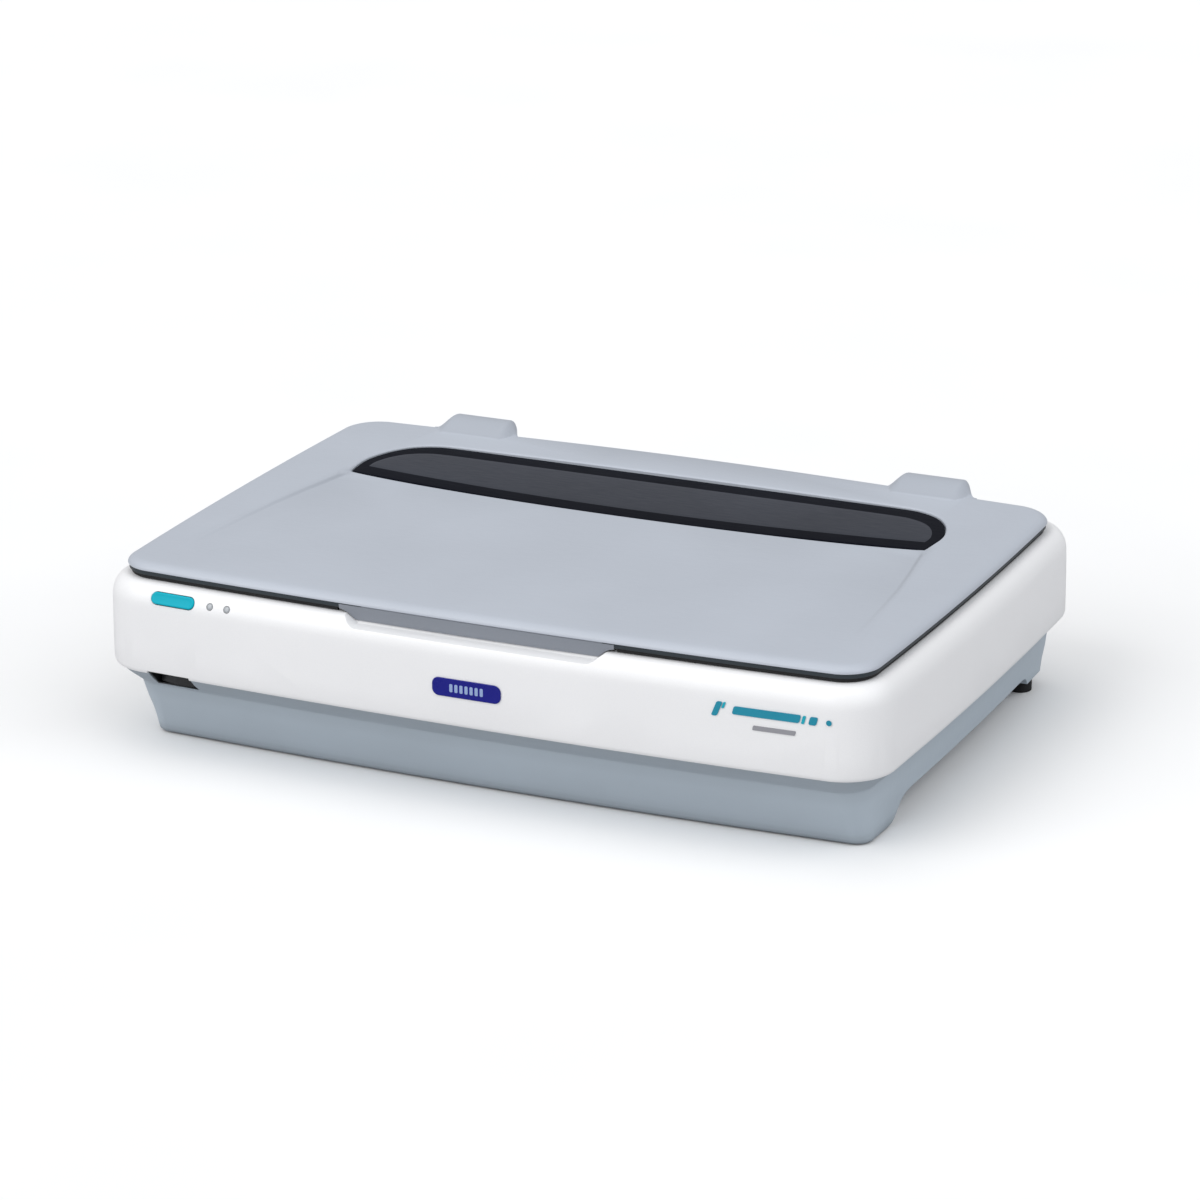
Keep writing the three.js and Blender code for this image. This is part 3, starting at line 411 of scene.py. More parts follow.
def edged_box(x0, x1, y0, y1, z0, z1, width, segments=2):
    return soften(box(x0, x1, y0, y1, z0, z1), width, 30, segments)


def smooth(shape, angle):
    mesh = shape.data
    mesh.polygons.foreach_set("use_smooth", [True] * len(mesh.polygons))
    limit = math.radians(angle)
    with editing(mesh) as edit:
        for edge in edit.edges:
            edge.smooth = len(edge.link_faces) == 2 and edge.calc_face_angle(0) < limit


def join(shapes):
    """One piece from several closed meshes that don't touch, or that sit in one another."""
    verts, faces = [], []
    for shape in shapes:
        start = len(verts)
        verts += [tuple(v.co) for v in shape.data.vertices]
        faces += [tuple(start + i for i in p.vertices) for p in shape.data.polygons]
        bpy.data.objects.remove(shape)
    mesh = bpy.data.meshes.new("part")
    mesh.from_pydata(verts, [], faces)
    mesh.update()
    return new_object(mesh)


def put(shape, matrix):
    shape.data.transform(matrix)
    return shape


# ------------------------------------------------------------------ material tools
MATERIALS = {}


def srgb(*levels):
    """Linear colour with alpha, from sRGB levels of 0 to 255."""
    parts = [level / 255.0 for level in levels]
    return (*(p / 12.92 if p <= 0.04045 else ((p + 0.055) / 1.055) ** 2.4 for p in parts), 1.0)


def shade(colour, factor):
    return (*(min(1, part * factor) for part in colour[:3]), 1.0)


class Paint:
    """A Principled material and the means to wire it."""

    def __init__(self, name):
        self.material = MATERIALS[name] = bpy.data.materials.new(name)
        self.material.use_nodes = True
        self.tree = self.material.node_tree
        self.shader = self.tree.nodes["Principled BSDF"]

    def feed(self, target, inputs):
        """Each input gets a value, or a link from the output that feeds it."""
        for key, value in inputs.items():
            if isinstance(value, bpy.types.NodeSocket):
                self.tree.links.new(value, target.inputs[key])
            else:
                target.inputs[key].default_value = value

    def surface(self, inputs):
        self.feed(self.shader, inputs)

    def node(self, kind, inputs=None, **settings):
        made = self.tree.nodes.new("ShaderNode" + kind)
        for key, value in settings.items():
            setattr(made, key, value)
        self.feed(made, inputs or {})
        return made

    def coords(self, scale=(1, 1, 1)):
        place = self.node("TexCoord").outputs["Object"]
        return self.node("Mapping", {"Scale": scale, "Vector": place}).outputs["Vector"]

    def noise(self, vector, scale, detail=2.0, rough=0.5):
        inputs = {"Scale": scale, "Detail": detail, "Roughness": rough, "Vector": vector}
        return self.node("TexNoise", inputs).outputs["Fac"]

    def remap(self, value, low, high, start=0.3, end=0.7):
        inputs = {"From Min": start, "From Max": end, "To Min": low, "To Max": high}
        return self.node("MapRange", {**inputs, "Value": value}).outputs["Result"]

    def mix(self, factor, first, second):
        # Sockets 6 and 7 are the colours A and B, and output 2 is the colour result.
        inputs = {"Factor": factor, 6: first, 7: second}
        return self.node("Mix", inputs, data_type="RGBA").outputs[2]

    def bevel(self, radius):
        return self.node("Bevel", {"Radius": radius}, samples=4).outputs["Normal"]

    def bump(self, height, strength, distance, round_edges=0.0):
        inputs = {"Strength": strength, "Distance": distance, "Height": height}
        if round_edges:
            inputs["Normal"] = self.bevel(round_edges)
        self.surface({"Normal": self.node("Bump", inputs).outputs["Normal"]})


def darken_by_height(paint, base, dark, stations):
    """Paints shade by world height, mixing towards dark; stations are (height in mm, share of dark).
    """
    top = stations[-1][0]
    position = paint.node("NewGeometry").outputs["Position"]
    height = paint.node("SeparateXYZ", {0: position}).outputs["Z"]
    span = {"From Min": 0.0, "From Max": top * MM, "Value": height}
    ramp = paint.node("ValToRGB", {"Fac": paint.node("MapRange", span).outputs["Result"]})
    ramp.color_ramp.interpolation = "EASE"
    elements = ramp.color_ramp.elements
    while len(elements) < len(stations):
        elements.new(0.5)
    for element, (z, share) in zip(elements, stations):
        element.position = z / top
        element.color = (share, share, share, 1)
    return paint.mix(ramp.outputs["Color"], base, dark)


def plastic(name, rgb, rough, grain=1400.0, depth=0.00006, vary=0.05, coat=0.0, spec=0.5,
            edge=0.0, use_painted_shade=False, by_height=None):
    """Moulded plastic: eroded grain, faint mottling, scuffs that change the gloss, painted edge
    highlights.

    grain and depth are the scale and height of the grain, vary the strength of the mottling,
    edge the strength of the painted edge highlights; a flag paints shade from a mesh attribute.
    """
    paint = Paint(name)
    colour = srgb(*rgb)
    dark = shade(colour, 0.45)
    vector = paint.coords()
    broad = paint.noise(vector, scale=9.0, detail=3.0)
    fine = paint.noise(vector, scale=grain, detail=2.0, rough=0.6)
    scuff = paint.noise(paint.coords(scale=(1, 6, 1)), scale=60.0, detail=5.0, rough=0.65)
    mottle = paint.remap(broad, low=0, high=1)
    base = paint.mix(mottle, shade(colour, 1 - vary), shade(colour, 1 + vary))
    base = paint.mix(paint.remap(fine, low=0, high=0.10), base, shade(colour, 0.72))
    # Painted highlight: edges that the Bevel node rounds are mixed towards a paler colour.
    if edge:
        rounded = paint.bevel(radius=0.0012)
        normal = paint.node("NewGeometry").outputs["Normal"]
        dot = paint.node("VectorMath", {0: rounded, 1: normal}, operation="DOT_PRODUCT")
        edge_highlight = paint.remap(dot.outputs["Value"], low=edge, high=0.0, start=0.90, end=0.995)
        base = paint.mix(edge_highlight, base, shade(colour, 1.35))
    # Painted shade from a mesh attribute, mixed towards the dark copy of the colour.
    if use_painted_shade:
        painted_shade = paint.node("Attribute", attribute_name="painted_shade")
        base = paint.mix(painted_shade.outputs["Fac"], base, dark)
    if by_height:
        base = darken_by_height(paint, base, dark, by_height)
    paint.surface({
        "Base Color": base,
        "Roughness": paint.remap(scuff, low=rough - 0.05, high=rough + 0.07),
        "Specular IOR Level": spec,
        "Coat Weight": coat,
        "Coat Roughness": 0.08,
    })
    paint.bump(fine, strength=0.55, distance=depth, round_edges=0.0006 if edge else 0.0)


def metal(name, rgb, rough, stretch):
    """Drawn or rolled metal; its grain runs along the axis that is stretched least."""
    paint = Paint(name)
    colour = srgb(*rgb)
    grain = paint.noise(paint.coords(scale=stretch), scale=40.0, detail=4.0, rough=0.6)
    spots = paint.noise(paint.coords(), scale=55.0, detail=3.0)
    streaks = paint.remap(grain, low=0, high=1)
    base = paint.mix(streaks, shade(colour, 0.82), shade(colour, 1.08))
    base = paint.mix(paint.remap(spots, low=0, high=0.25), base, shade(colour, 0.6))
    roughness = paint.remap(grain, low=rough - 0.08, high=rough + 0.1)
    paint.surface({"Base Color": base, "Metallic": 1.0, "Roughness": roughness})
    paint.bump(grain, strength=0.3, distance=0.00002)


def rubber(name, rgb):
    paint = Paint(name)
    colour = srgb(*rgb)
    vector = paint.coords()
    fine = paint.noise(vector, scale=900.0, detail=3.0, rough=0.7)
    dust = paint.noise(vector, scale=45.0, detail=3.0)
    base = paint.mix(paint.remap(dust, low=0, high=1), colour, shade(colour, 1.7))
    paint.surface({"Base Color": base, "Roughness": paint.remap(dust, low=0.72, high=0.9)})
    paint.bump(fine, strength=0.6, distance=0.0001)


def solder_mask():
    """Green circuit board with darker traces and pale pads."""
    paint = Paint("solder_mask")
    vector = paint.coords()
    cells = paint.node("TexVoronoi", distance="MANHATTAN")
    paint.feed(cells, {"Scale": 190.0, "Vector": vector})
    distance = cells.outputs["Distance"]
    bricks = paint.node("TexBrick", {"Scale": 120.0, "Mortar Size": 0.03, "Vector": vector})
    patches = paint.remap(distance, low=0, high=1, start=0.2, end=0.9)
    base = paint.mix(patches, srgb(22, 88, 56), srgb(30, 110, 70))
    base = paint.mix(bricks.outputs["Fac"], base, srgb(18, 74, 48))
    pads = paint.remap(distance, low=1.0, high=0.0, start=0.02, end=0.09)
    base = paint.mix(pads, base, srgb(205, 200, 180))
    paint.surface({"Base Color": base, "Roughness": 0.35})
    paint.bump(distance, strength=0.2, distance=0.00005)


def float_glass():
    """See-through greenish glass with a few faint smears."""
    paint = Paint("float_glass")
    tint = (0.80, 0.90, 0.87, 1)
    smears = paint.noise(paint.coords(), scale=14.0, detail=4.0)
    paint.surface({
        "Base Color": paint.mix(paint.remap(smears, low=0, high=1), tint, shade(tint, 0.97)),
        "Roughness": paint.remap(smears, low=0.01, high=0.04),
        "IOR": 1.45,
        "Alpha": 0.16,
    })


def silvered_glass():
    paint = Paint("silvered_glass")
    smears = paint.noise(paint.coords(), scale=20.0, detail=4.0)
    mottle = paint.remap(smears, low=0, high=1)
    paint.surface({
        "Base Color": paint.mix(mottle, (0.88, 0.9, 0.92, 1), (0.93, 0.95, 0.96, 1)),
        "Metallic": 1.0,
        "Roughness": paint.remap(smears, low=0.02, high=0.06),
    })


def mat_sheet():
    """White sheet with a fine woven-look grain."""
    paint = Paint("mat_sheet")
    vector = paint.coords()
    waves = [
        paint.node("TexWave", {"Scale": 420.0, "Vector": vector}, bands_direction=direction)
        for direction in "XY"
    ]
    weave = paint.node("Math", {i: w.outputs["Fac"] for i, w in enumerate(waves)}, operation="ADD")
    broad = paint.noise(vector, scale=12.0, detail=4.0)
    mottle = paint.remap(broad, low=0, high=1)
    base = paint.mix(mottle, srgb(244, 244, 240), srgb(250, 250, 248))
    paint.surface({"Base Color": base, "Roughness": 0.75, "Sheen Weight": 0.15})
    paint.bump(weave.outputs["Value"], strength=0.15, distance=0.00008)


# ------------------------------------------------------------------ materials
FAINT = 0.00001  # grain height of the smoothest surfaces
INK = dict(grain=900.0, depth=FAINT)
WINDOW = dict(grain=500.0, depth=FAINT)
BADGE = dict(grain=700.0, depth=FAINT, vary=0.08)
# (height in mm, share of dark): painted shade at the foot and under the flare
TRAY_SHADE = [
    (0.0, 0.7), (2.6, 0.56), (6.0, 0.24), (11.0, 0.05), (17.0, 0.0), (34.0, 0.0),
    (46.0, 0.10), (55.0, 0.36), (70.0, 0.48),
]
plastic("housing_plastic", (243, 243, 244), rough=0.40, vary=0.012, edge=0.5)
plastic("lid_plastic", (184, 190, 200), rough=0.38, vary=0.025, edge=0.45, use_painted_shade=True)
plastic("base_plastic", (189, 201, 211), rough=0.46, vary=0.03, edge=0.4, by_height=TRAY_SHADE)
plastic("window_plastic", (50, 53, 62), rough=0.34, vary=0.12, spec=0.1, **WINDOW)
# Near-black copy of the window's plastic for its border: painted shade round the recess.
plastic("window_rim_painted_shade_plastic", (17, 19, 27), rough=0.45, vary=0.15, spec=0.02, **WINDOW)
# Darker copy of the lid's plastic for the lip under its front edge: painted shade.
plastic("lip_painted_shade_plastic", (138, 143, 152), rough=0.42, vary=0.03, spec=0.35)
# Near-black copy of the lid's plastic for its low skirt: painted shade under the edge.
plastic("skirt_painted_shade_plastic", (50, 57, 62), rough=0.5, vary=0.1, spec=0.3)
plastic("button_plastic", (0, 172, 192), rough=0.38, grain=900.0, depth=0.00002, spec=0.15)
plastic("accent_ink", (14, 140, 166), rough=0.35, vary=0.10, **INK)
plastic("accent_bright_ink", (0, 168, 188), rough=0.35, vary=0.06, **INK)
plastic("grey_ink", (150, 150, 156), rough=0.45, vary=0.08, **INK)
plastic("badge_plastic", (8, 14, 130), rough=0.28, coat=0.1, spec=0.3, **BADGE)
plastic("badge_mark_plastic", (150, 172, 214), rough=0.3, **BADGE)
plastic("lens_plastic", (168, 172, 176), rough=0.18, grain=600.0, depth=0.00002, vary=0.10,
        coat=0.4)
plastic("black_plastic", (24, 25, 28), rough=0.45, vary=0.2, edge=0.25)
plastic("dark_plastic", (40, 42, 46), rough=0.5, vary=0.15, edge=0.25)
plastic("switch_plastic", (30, 31, 34), rough=0.35, vary=0.15, edge=0.35)
plastic("white_plastic", (236, 236, 234), rough=0.45, vary=0.02)
plastic("scale_film", (222, 225, 230), rough=0.5, grain=800.0, vary=0.02)
plastic("tick_ink", (60, 64, 72), rough=0.5, grain=800.0, vary=0.1)
plastic("white_film", (248, 248, 246), rough=0.7, vary=0.01)
plastic("chip_epoxy", (34, 35, 38), rough=0.5, grain=1100.0, vary=0.2)
plastic("capacitor_sleeve", (40, 52, 96), rough=0.35, vary=0.1)
plastic("transformer_tape", (206, 176, 70), rough=0.5, vary=0.08)
metal("copper_wire", (176, 108, 62), rough=0.3, stretch=(60, 60, 1))
metal("ground_steel", (196, 199, 203), rough=0.2, stretch=(2, 80, 80))
metal("turned_steel", (190, 193, 198), rough=0.25, stretch=(60, 60, 2))
metal("zinc_sheet", (176, 180, 184), rough=0.36, stretch=(6, 6, 6))
metal("bright_aluminium", (214, 216, 220), rough=0.16, stretch=(60, 2, 60))
metal("sintered_brass", (186, 152, 92), rough=0.34, stretch=(20, 20, 20))
rubber("foot_rubber", (22, 22, 23))
rubber("belt_rubber", (30, 31, 32))
solder_mask()
float_glass()
silvered_glass()
mat_sheet()
plastic("lamp_phosphor", (250, 251, 255), rough=0.25, grain=300.0, depth=FAINT, vary=0.01,
        coat=0.4)


# ------------------------------------------------------------------ finished pieces
def extra(name, shape, materials, rides="housing", angle=32, node=None):
    """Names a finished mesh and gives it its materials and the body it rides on."""
    shape.name = shape.data.name = name
    shape.data.materials.clear()
    for material in [materials] if isinstance(materials, str) else materials:
        shape.data.materials.append(MATERIALS[material])
    smooth(shape, angle)
    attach(shape, rides)
    if node:
        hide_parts(node)
    return shape


def stand_in(node, shape, materials, rides="housing", angle=32):
    """A finished mesh that takes the place of a CAD node."""
    return extra(node + "_fine", shape, materials, rides, angle, node)


# CAD pieces whose shape is right. node: (material, width of the broken edges)
KEPT = {
    "power_switch_bezel": ("black_plastic", 0.5),
    "power_rocker": ("switch_plastic", 0.9),
    "platen_glass": ("float_glass", 0.5),
    "calibration_strip": ("white_film", 0.2),
    "rod_bracket_left": ("dark_plastic", 0.7),
    "rod_bracket_right": ("dark_plastic", 0.7),
    "rear_slide_rail": ("zinc_sheet", 0.3),
    "connector_plate": ("zinc_sheet", 0.25),
    "scsi_port": ("black_plastic", 0.4),
    "usb_port": ("zinc_sheet", 0.3),
    "ac_inlet": ("black_plastic", 0.5),
    "carriage_frame": ("dark_plastic", 0.5),
    "rear_slider": ("white_plastic", 0.8),
    "belt_clamp": ("dark_plastic", 0.3),
    "carriage_cover": ("dark_plastic", 0.35),
    "lamp_reflector": ("bright_aluminium", 0.15),
    "lower_mirror": ("silvered_glass", 0.3),
    "upper_mirror": ("silvered_glass", 0.3),
    "left_hinge_socket": ("dark_plastic", 0.4),
    "right_hinge_socket": ("dark_plastic", 0.4),
}
for node, (material, width) in KEPT.items():
    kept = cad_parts[node]
    kept.data.materials.clear()
    kept.data.materials.append(MATERIALS[material])
    edge_bevel(kept, width, angle=40)


# ------------------------------------------------------------------ shared shapes
def shoulder(degrees):
    """Point of the housing's rounded shoulder: (height, inset)."""
    angle = math.radians(degrees)
    return (
        SHOULDER_Z + (DECK_Z - SHOULDER_Z) * math.sin(angle),
        SHOULDER_INSET - SHOULDER_RUN * math.cos(angle),
    )


def local_frame(along, rise, out, place):
    matrix = Matrix((along, rise, out)).transposed().to_4x4()
    matrix.translation = Vector(place) * MM
    return matrix


def panel_frame(x):
    """Local frame of the controls on the shoulder: x along it, y up the surface, z outward."""
    z, inset = shoulder(PANEL_DEG)
    angle = math.radians(PANEL_DEG)
    yaw = math.asin(x / FRONT_RADIUS)
    tilt = math.atan2(
        math.sin(angle) / (DECK_Z - SHOULDER_Z), math.cos(angle) / SHOULDER_RUN
    )
    level = math.cos(tilt)
    out = Vector((math.sin(yaw) * level, -math.cos(yaw) * level, math.sin(tilt)))
    along = Vector((math.cos(yaw), math.sin(yaw), 0))
    return local_frame(along, out.cross(along), out, (x, front_y(x, inset), z))


def wall_frame(x, z):
    """Local frame on the front wall: x along it, y up, z outward."""
    yaw = math.asin(x / FRONT_RADIUS)
    along, out = (math.cos(yaw), math.sin(yaw), 0), (math.sin(yaw), -math.cos(yaw), 0)
    return local_frame(along, (0, 0, 1), out, (x, front_y(x), z))


def tube(path, radius, sides=10):
    """Round wire along a path of millimetre points."""
    points = [Vector(p) for p in path]
    across = (points[1] - points[0]).normalized().orthogonal().normalized()
    verts = []
    for k, point in enumerate(points):
        ahead = (points[min(k + 1, len(points) - 1)] - points[max(k - 1, 0)]).normalized()
        across = (across - ahead * across.dot(ahead)).normalized()
        other = ahead.cross(across)
        for i in range(sides):
            a = 2 * math.pi * i / sides
            verts.append(tuple(point + (across * math.cos(a) + other * math.sin(a)) * radius))
    return solid(verts, closed_faces(len(points), sides))


def screw(x, y, z, radius, tilt):
    """Pan head with a cross recess. tilt turns it about X: 0 faces up, -90 to the rear."""
    head = lathe([
        (0, 0), (radius, 0), (radius, 0.5), (radius * 0.94, 0.95), (radius * 0.8, 1.35),
        (radius * 0.55, 1.65), (0, 1.8),
    ], segments=32)
    long, short = radius * 1.15, radius * 0.26
    for w, h in ((long, short), (short, long)):
        cut(head, box(-w / 2, w / 2, -h / 2, h / 2, 0.9, 3))
    matrix = Matrix.Rotation(math.radians(tilt), 4, "X")
    matrix.translation = Vector((x, y, z)) * MM
    return put(head, matrix)


def screws(name, rides, spots, tilt=0):
    """One piece from screws at (x, y, z, radius)."""
    extra(name, join([screw(*spot, tilt) for spot in spots]), "turned_steel", rides)


def switch_opening():
    return box(SWITCH_X - 18.8, SWITCH_X + 18.8, -240, -189.7, 53.2, 68.5)


# ------------------------------------------------------------------ lower tray
def face_in(z):
    """Inset of the tray's sloping front face."""
    return CREASE_INSET + (CREASE_Z - z) * FACE_SLOPE


# z, front inset, side inset, rear inset, (front, rear corner radius)
TRAY_WALL = [
    (1.0, 47.4, 26.4, 15.4, (12, 10)),
    (1.1, 46.9, 25.9, 14.6, (12.4, 10)),
    (1.35, 46.3, 25.2, 13.9, (13, 10)),
    (1.8, 45.6, 24.75, 13.3, (13.6, 10)),
    (2.5, face_in(2.5) + 0.1, 24.45, 12.9, (14, 10)),
    (3.6, face_in(3.6), 24.35, 12.6, (14.3, 10.1)),
    (14, face_in(14), 24.1, 10.4, (16.4, 11)),
    (22, face_in(22), 23.6, 7.4, (18, 12)),
    (33, face_in(33), 21.5, 6, (20.3, 13)),
    (42, face_in(42), 20.4, 5.4, (22.2, 13.5)),
    (49.0, face_in(49.0), 19.62, 5.05, (23.8, 13.9)),
    (49.7, 21.1, 19.45, 5.02, (24, 14)),
    (50.2, 20.75, 19.15, 4.97, (24.4, 14.5)),
    (50.7, 20.15, 18.7, 4.94, (25.1, 15.2)),
    (51.4, 19.3, 18.0, 4.9, (26, 16.4)),
    (55.6, 14.2, 13.5, 4.8, (30, 23)),
    (60, 8.9, 8.8, 4.7, (34, 30)),
    (63.2, 5.8, 5.75, 4.6, (36.4, 35.2)),
    (64, 4.95, 4.95, 4.5, (37, 36)),
    (64.6, 4.45, 4.45, 4.3, (37.6, 37.4)),
    (65, 4.2, 4.2, 4.2, (38, 38)),
    (71, 4.2, 4.2, 4.2, (38, 38)),
]
TRAY_HOLLOW = [
    (25, face_in(25) + 3.4, 26.4, 10.4, (15.5, 10)),
    (33, face_in(33) + 3.2, 24.8, 9.2, (17.5, 11)),
    (51.4, 23.4, 22.2, 8.2, (22, 13)),
    (60, 13, 12.6, 8, (30, 26)),
    (65.3, 7, 7, 7, (35, 35)),
    (72, 7, 7, 7, (35, 35)),
]
UNDER_RECESS = [
    (10, 60, 33, 16, (18, 18)), (21.4, 60, 33, 16, (18, 18)),
    (22, 60.6, 33.6, 16.6, (17.6, 17.6)),
]
FRONT_POCKETS = [(0, 51, 30, 30, (12, 14)), (20.5, face_in(22) + 3.4, 30, 30, (14, 14))]
POCKET_SPANS = ((-252, -168), (-164.5, -84), (-80.5, -1.7), (1.7, 80.5), (84, 164.5), (168, 252))
# (y, z) of the raised underside's front and rear ends
UNDER_FRONT = [
    (-132.6, 1.0), (-130.6, 2.1), (-126, 3.9), (-121.5, 6.6), (-116.6, 10.6), (-111, 14.9),
    (-104, 17.8), (-92, 19.2), (-80, 19.5),
]
UNDER_REAR = [
    (-80, 19.5), (148, 19.5), (158, 19.3), (165, 18.0), (169.6, 15.4), (172, 11.5),
]
# (x, z) of the right-hand end of the arch under the rear
REAR_ARCH = [(254, 19.5), (260, 18.9), (265, 17.0), (268.4, 13.4), (270, 8)]


def underside_profile():
    points = [(-134.0, -5), UNDER_FRONT[0]] + spline(UNDER_FRONT, 5)[1:]
    points += spline(UNDER_REAR, 5)[1:] + [(240, 11.5), (240, -5)]
    # The flat stretch stays one straight edge.
    return [p for p in points if not -79 < p[0] < 140]


def build_tray():
    tray = stack(outline, TRAY_WALL, steps=(16, 48, 44))
    rear_arch = mirrored(spline(REAR_ARCH, 5)) + [(270.5, -5), (-270.5, -5)]
    cut(tray, prism(underside_profile(), -340, 340, "x"), prism(rear_arch, 140, 245, "y"))
    tidy(tray, angle=0.25)
    soften(tray, 0.9, 50, 3)
    lane = add(box(-340, 340, -74, 148, 0, 40), box(-248, 248, 140, 240, 0, 40))
    cut(tray, common(stack(outline, UNDER_RECESS), lane), stack(outline, TRAY_HOLLOW))
    # Ribs across the floor
    add(tray, *[box(-228, 228, y - 0.9, y + 0.9, 24, 27.2) for y in (-100, 130)])
    for x0, x1 in POCKET_SPANS:
        cut(tray, common(stack(outline, FRONT_POCKETS), box(x0, x1, -190, -136, 0, 20)))
    for x, y, radius, top in FEET.values():
        cut(tray, bore("z", x, y, -1, top + 0.3, radius + 0.4))
    cut(tray, bore("z", LOCK_X, LOCK_Y, 15, 30, 4.5, 40))
    # Upright tab at the free end of the belt spring
    add(tray, box(-236, -232, -125, -115, 24, 37))
    # Standoffs under the boards
    for x, y in MAIN_HOLES + SUPPLY_HOLES:
        add(tray, rod("z", x, y, 24, 29.8, 3.2, 24, chamfer=0.2))
    cut(tray, switch_opening())
    stand_in("base_tray", tidy(tray), "base_plastic", angle=28)


def build_feet():
    for node, (x, y, radius, top) in FEET.items():
        profile = [
            (0, 0), (radius - 3.2, 0), (radius - 2.9, 0.5), (radius - 2.2, 0.5),
            (radius - 1.9, 0), (radius - 1.0, 0), (radius - 0.4, 0.15), (radius - 0.08, 0.45),
            (radius, 0.9), (radius, top - 0.3), (radius - 0.3, top), (0, top),
        ]
        stand_in(node, lathe(profile, (x, y, 0), segments=72), "foot_rubber")


# ------------------------------------------------------------------ upper housing
# (z, inset) of the wall up to the shoulder, and of the hollow
HOUSING_WALL = [
    (66, 2.5), (66.1, 2.0), (66.35, 1.5), (66.8, 1.05), (67.5, 0.7), (68.6, 0.35), (70, 0.0),
    (84, 0.0), (100, 0.1), (112, 0.25), (118, 0.4),
]
HOUSING_HOLLOW = [
    (65, 3.4), (119, 3.9), (124, 4.5), (127.5, 5.3), (130, 6.8), (132, 8.6), (134.5, 12.5),
    (135.5, 17),
]
# (x, z) of the ramps that close the scoop's ends
SCOOP_RAMP = spline([
    (94.0, 130.1), (98.0, 130.9), (102, 133.2), (105.5, 136.2), (109, 138.4), (113, 139.6),
    (118, 141),
], 4)
SCOOP_ENDS = mirrored(SCOOP_RAMP)


def scoop_profile(radius):
    """(y, z) of the scoop: flat floor and rounded back wall."""
    floor = [(-240, SCOOP_Z - radius)]
    rise = [(SCOOP_Y + radius, 150), (-240, 150)]
    return floor + arc(SCOOP_Y, SCOOP_Z, radius, range(-90, 1, 6)) + rise


def rear_opening(x, z, width, height, radius, depth_from=215):
    return prism(round_rect(x, z, width, height, radius), depth_from, 240, "y")


def build_housing():
    shoulder_rows = [shoulder(a) for a in (*range(5, 66, 6), *range(70, 91, 5))]
    shell = stack(even_outline, HOUSING_WALL + shoulder_rows, steps=(18, 56, 40))
    outer = duplicate(shell)
    cut(shell, stack(even_outline, HOUSING_HOLLOW))
    add(shell, common(box(-105, 105, -235, -206, 127, 137.9), duplicate(outer)))
    scoop = prism(scoop_profile(SCOOP_RADIUS), -120, 120, "x")
    cut(shell, common(scoop, prism(SCOOP_ENDS, -245, -205, "y")))
    for x in (-HINGE_X, HINGE_X):
        add(shell, common(box(x - 46, x + 46, 199, 240, 127, 137.9), duplicate(outer)))
        cut(shell, prism(round_rect(x, 223.75, 86, 42.5, 2.5), 131, 150))
        cut(shell, prism(round_rect(x, 214.7, 38.8, 16.6, 1.0), 120, 140))
    bpy.data.objects.remove(outer)
    cut(shell, prism(round_rect(0, 0, 441, 314, 4, 10), 130, 145), switch_opening())
    cut(shell, put(prism(capsule(*BUTTON_SIZE, grow=0.5), -9, 8), panel_frame(BUTTON_X)))
    for x in LIGHTS.values():
        cut(shell, put(prism(capsule(5, 5, grow=0.4), -9, 8), panel_frame(x)))
    # Connector opening, power inlet, vents, and the shallow recess for the label
    cut(shell, rear_opening(-70, 92, 164, 32, 1.5), rear_opening(135, 90, 29, 21, 1.5))
    cut(shell, *[rear_opening(39.5 + i * 10, 93, 3, 26, 1.45) for i in range(7)])
    cut(shell, rear_opening(-222, 92, 66, 30, 2, depth_from=228.3))
    stand_in("upper_housing", tidy(shell), "housing_plastic", angle=28)


def build_controls():
    # Dished capsule with a rounded rim: (height, inset)
    rows = [
        (-3.6, 0.5), (-3.3, 0.15), (-2.9, 0), (0.35, 0), (0.62, 0.12), (0.82, 0.35),
        (0.95, 0.75), (0.98, 1.2), (0.86, 1.9), (0.74, 2.8), (0.68, 3.8),
    ]
    button = stack(lambda inset: capsule(*BUTTON_SIZE, grow=-inset, steps=16), rows)
    add(button, soften(prism(round_rect(0, 0, 8, 4, 1, 4), -9.6, -3.3), 0.3, 40))
    put(button, panel_frame(BUTTON_X))
    stand_in("start_button", button, "button_plastic", "start_button", angle=40)
    for node, x in LIGHTS.items():
        lens = lathe([
            (0, -4.2), (2.1, -4.2), (2.4, -3.9), (2.5, -3.5), (2.5, -0.2), (2.35, 0.1),
            (1.9, 0.32), (1.2, 0.5), (0.5, 0.58), (0, 0.6),
        ], segments=48)
        stand_in(node, put(lens, panel_frame(x)), "lens_plastic")


# ------------------------------------------------------------------ circuit boards
draw = random.Random(7)


def chip(x, y, z, width, depth, height):
    """Gull-wing package with a pin-one dimple, and its legs."""
    pitch = 1.27
    left, front = x - width / 2, y - depth / 2
    body = edged_box(left, x + width / 2, front, y + depth / 2, z + 0.25, z + height, 0.3)
    dimple = [(0, height - 0.2), (0.5, height - 0.2), (0.5, height + 1), (0, height + 1)]
    cut(body, lathe(dimple, (left + 1.5, front + 1.5, z), segments=16))
    legs = []
    count = int((width - 2) / pitch)
    for side in (-1, 1):
        for k in range(count):
            leg_x = x - (count - 1) * pitch / 2 + k * pitch
            y0, y1 = sorted((y + side * depth / 2 - side * 0.1, y + side * (depth / 2 + 1.3)))
            legs.append(box(leg_x - 0.24, leg_x + 0.24, y0, y1, z, z + 0.35))
    return body, legs


def can(x, y, radius, height):
    """Upright capacitor with a crimped foot."""
    return lathe([
        (0, 0), (radius - 0.5, 0), (radius - 0.2, 0.3), (radius - 0.05, 1.0),
        (radius - 0.5, 1.5), (radius - 0.5, 1.9), (radius, 2.4), (radius, height - 0.6),
        (radius - 0.4, height - 0.1), (radius - 1.0, height), (radius - 1.4, height - 0.25),
        (0, height - 0.25),
    ], (x, y, PARTS_Z), segments=40)


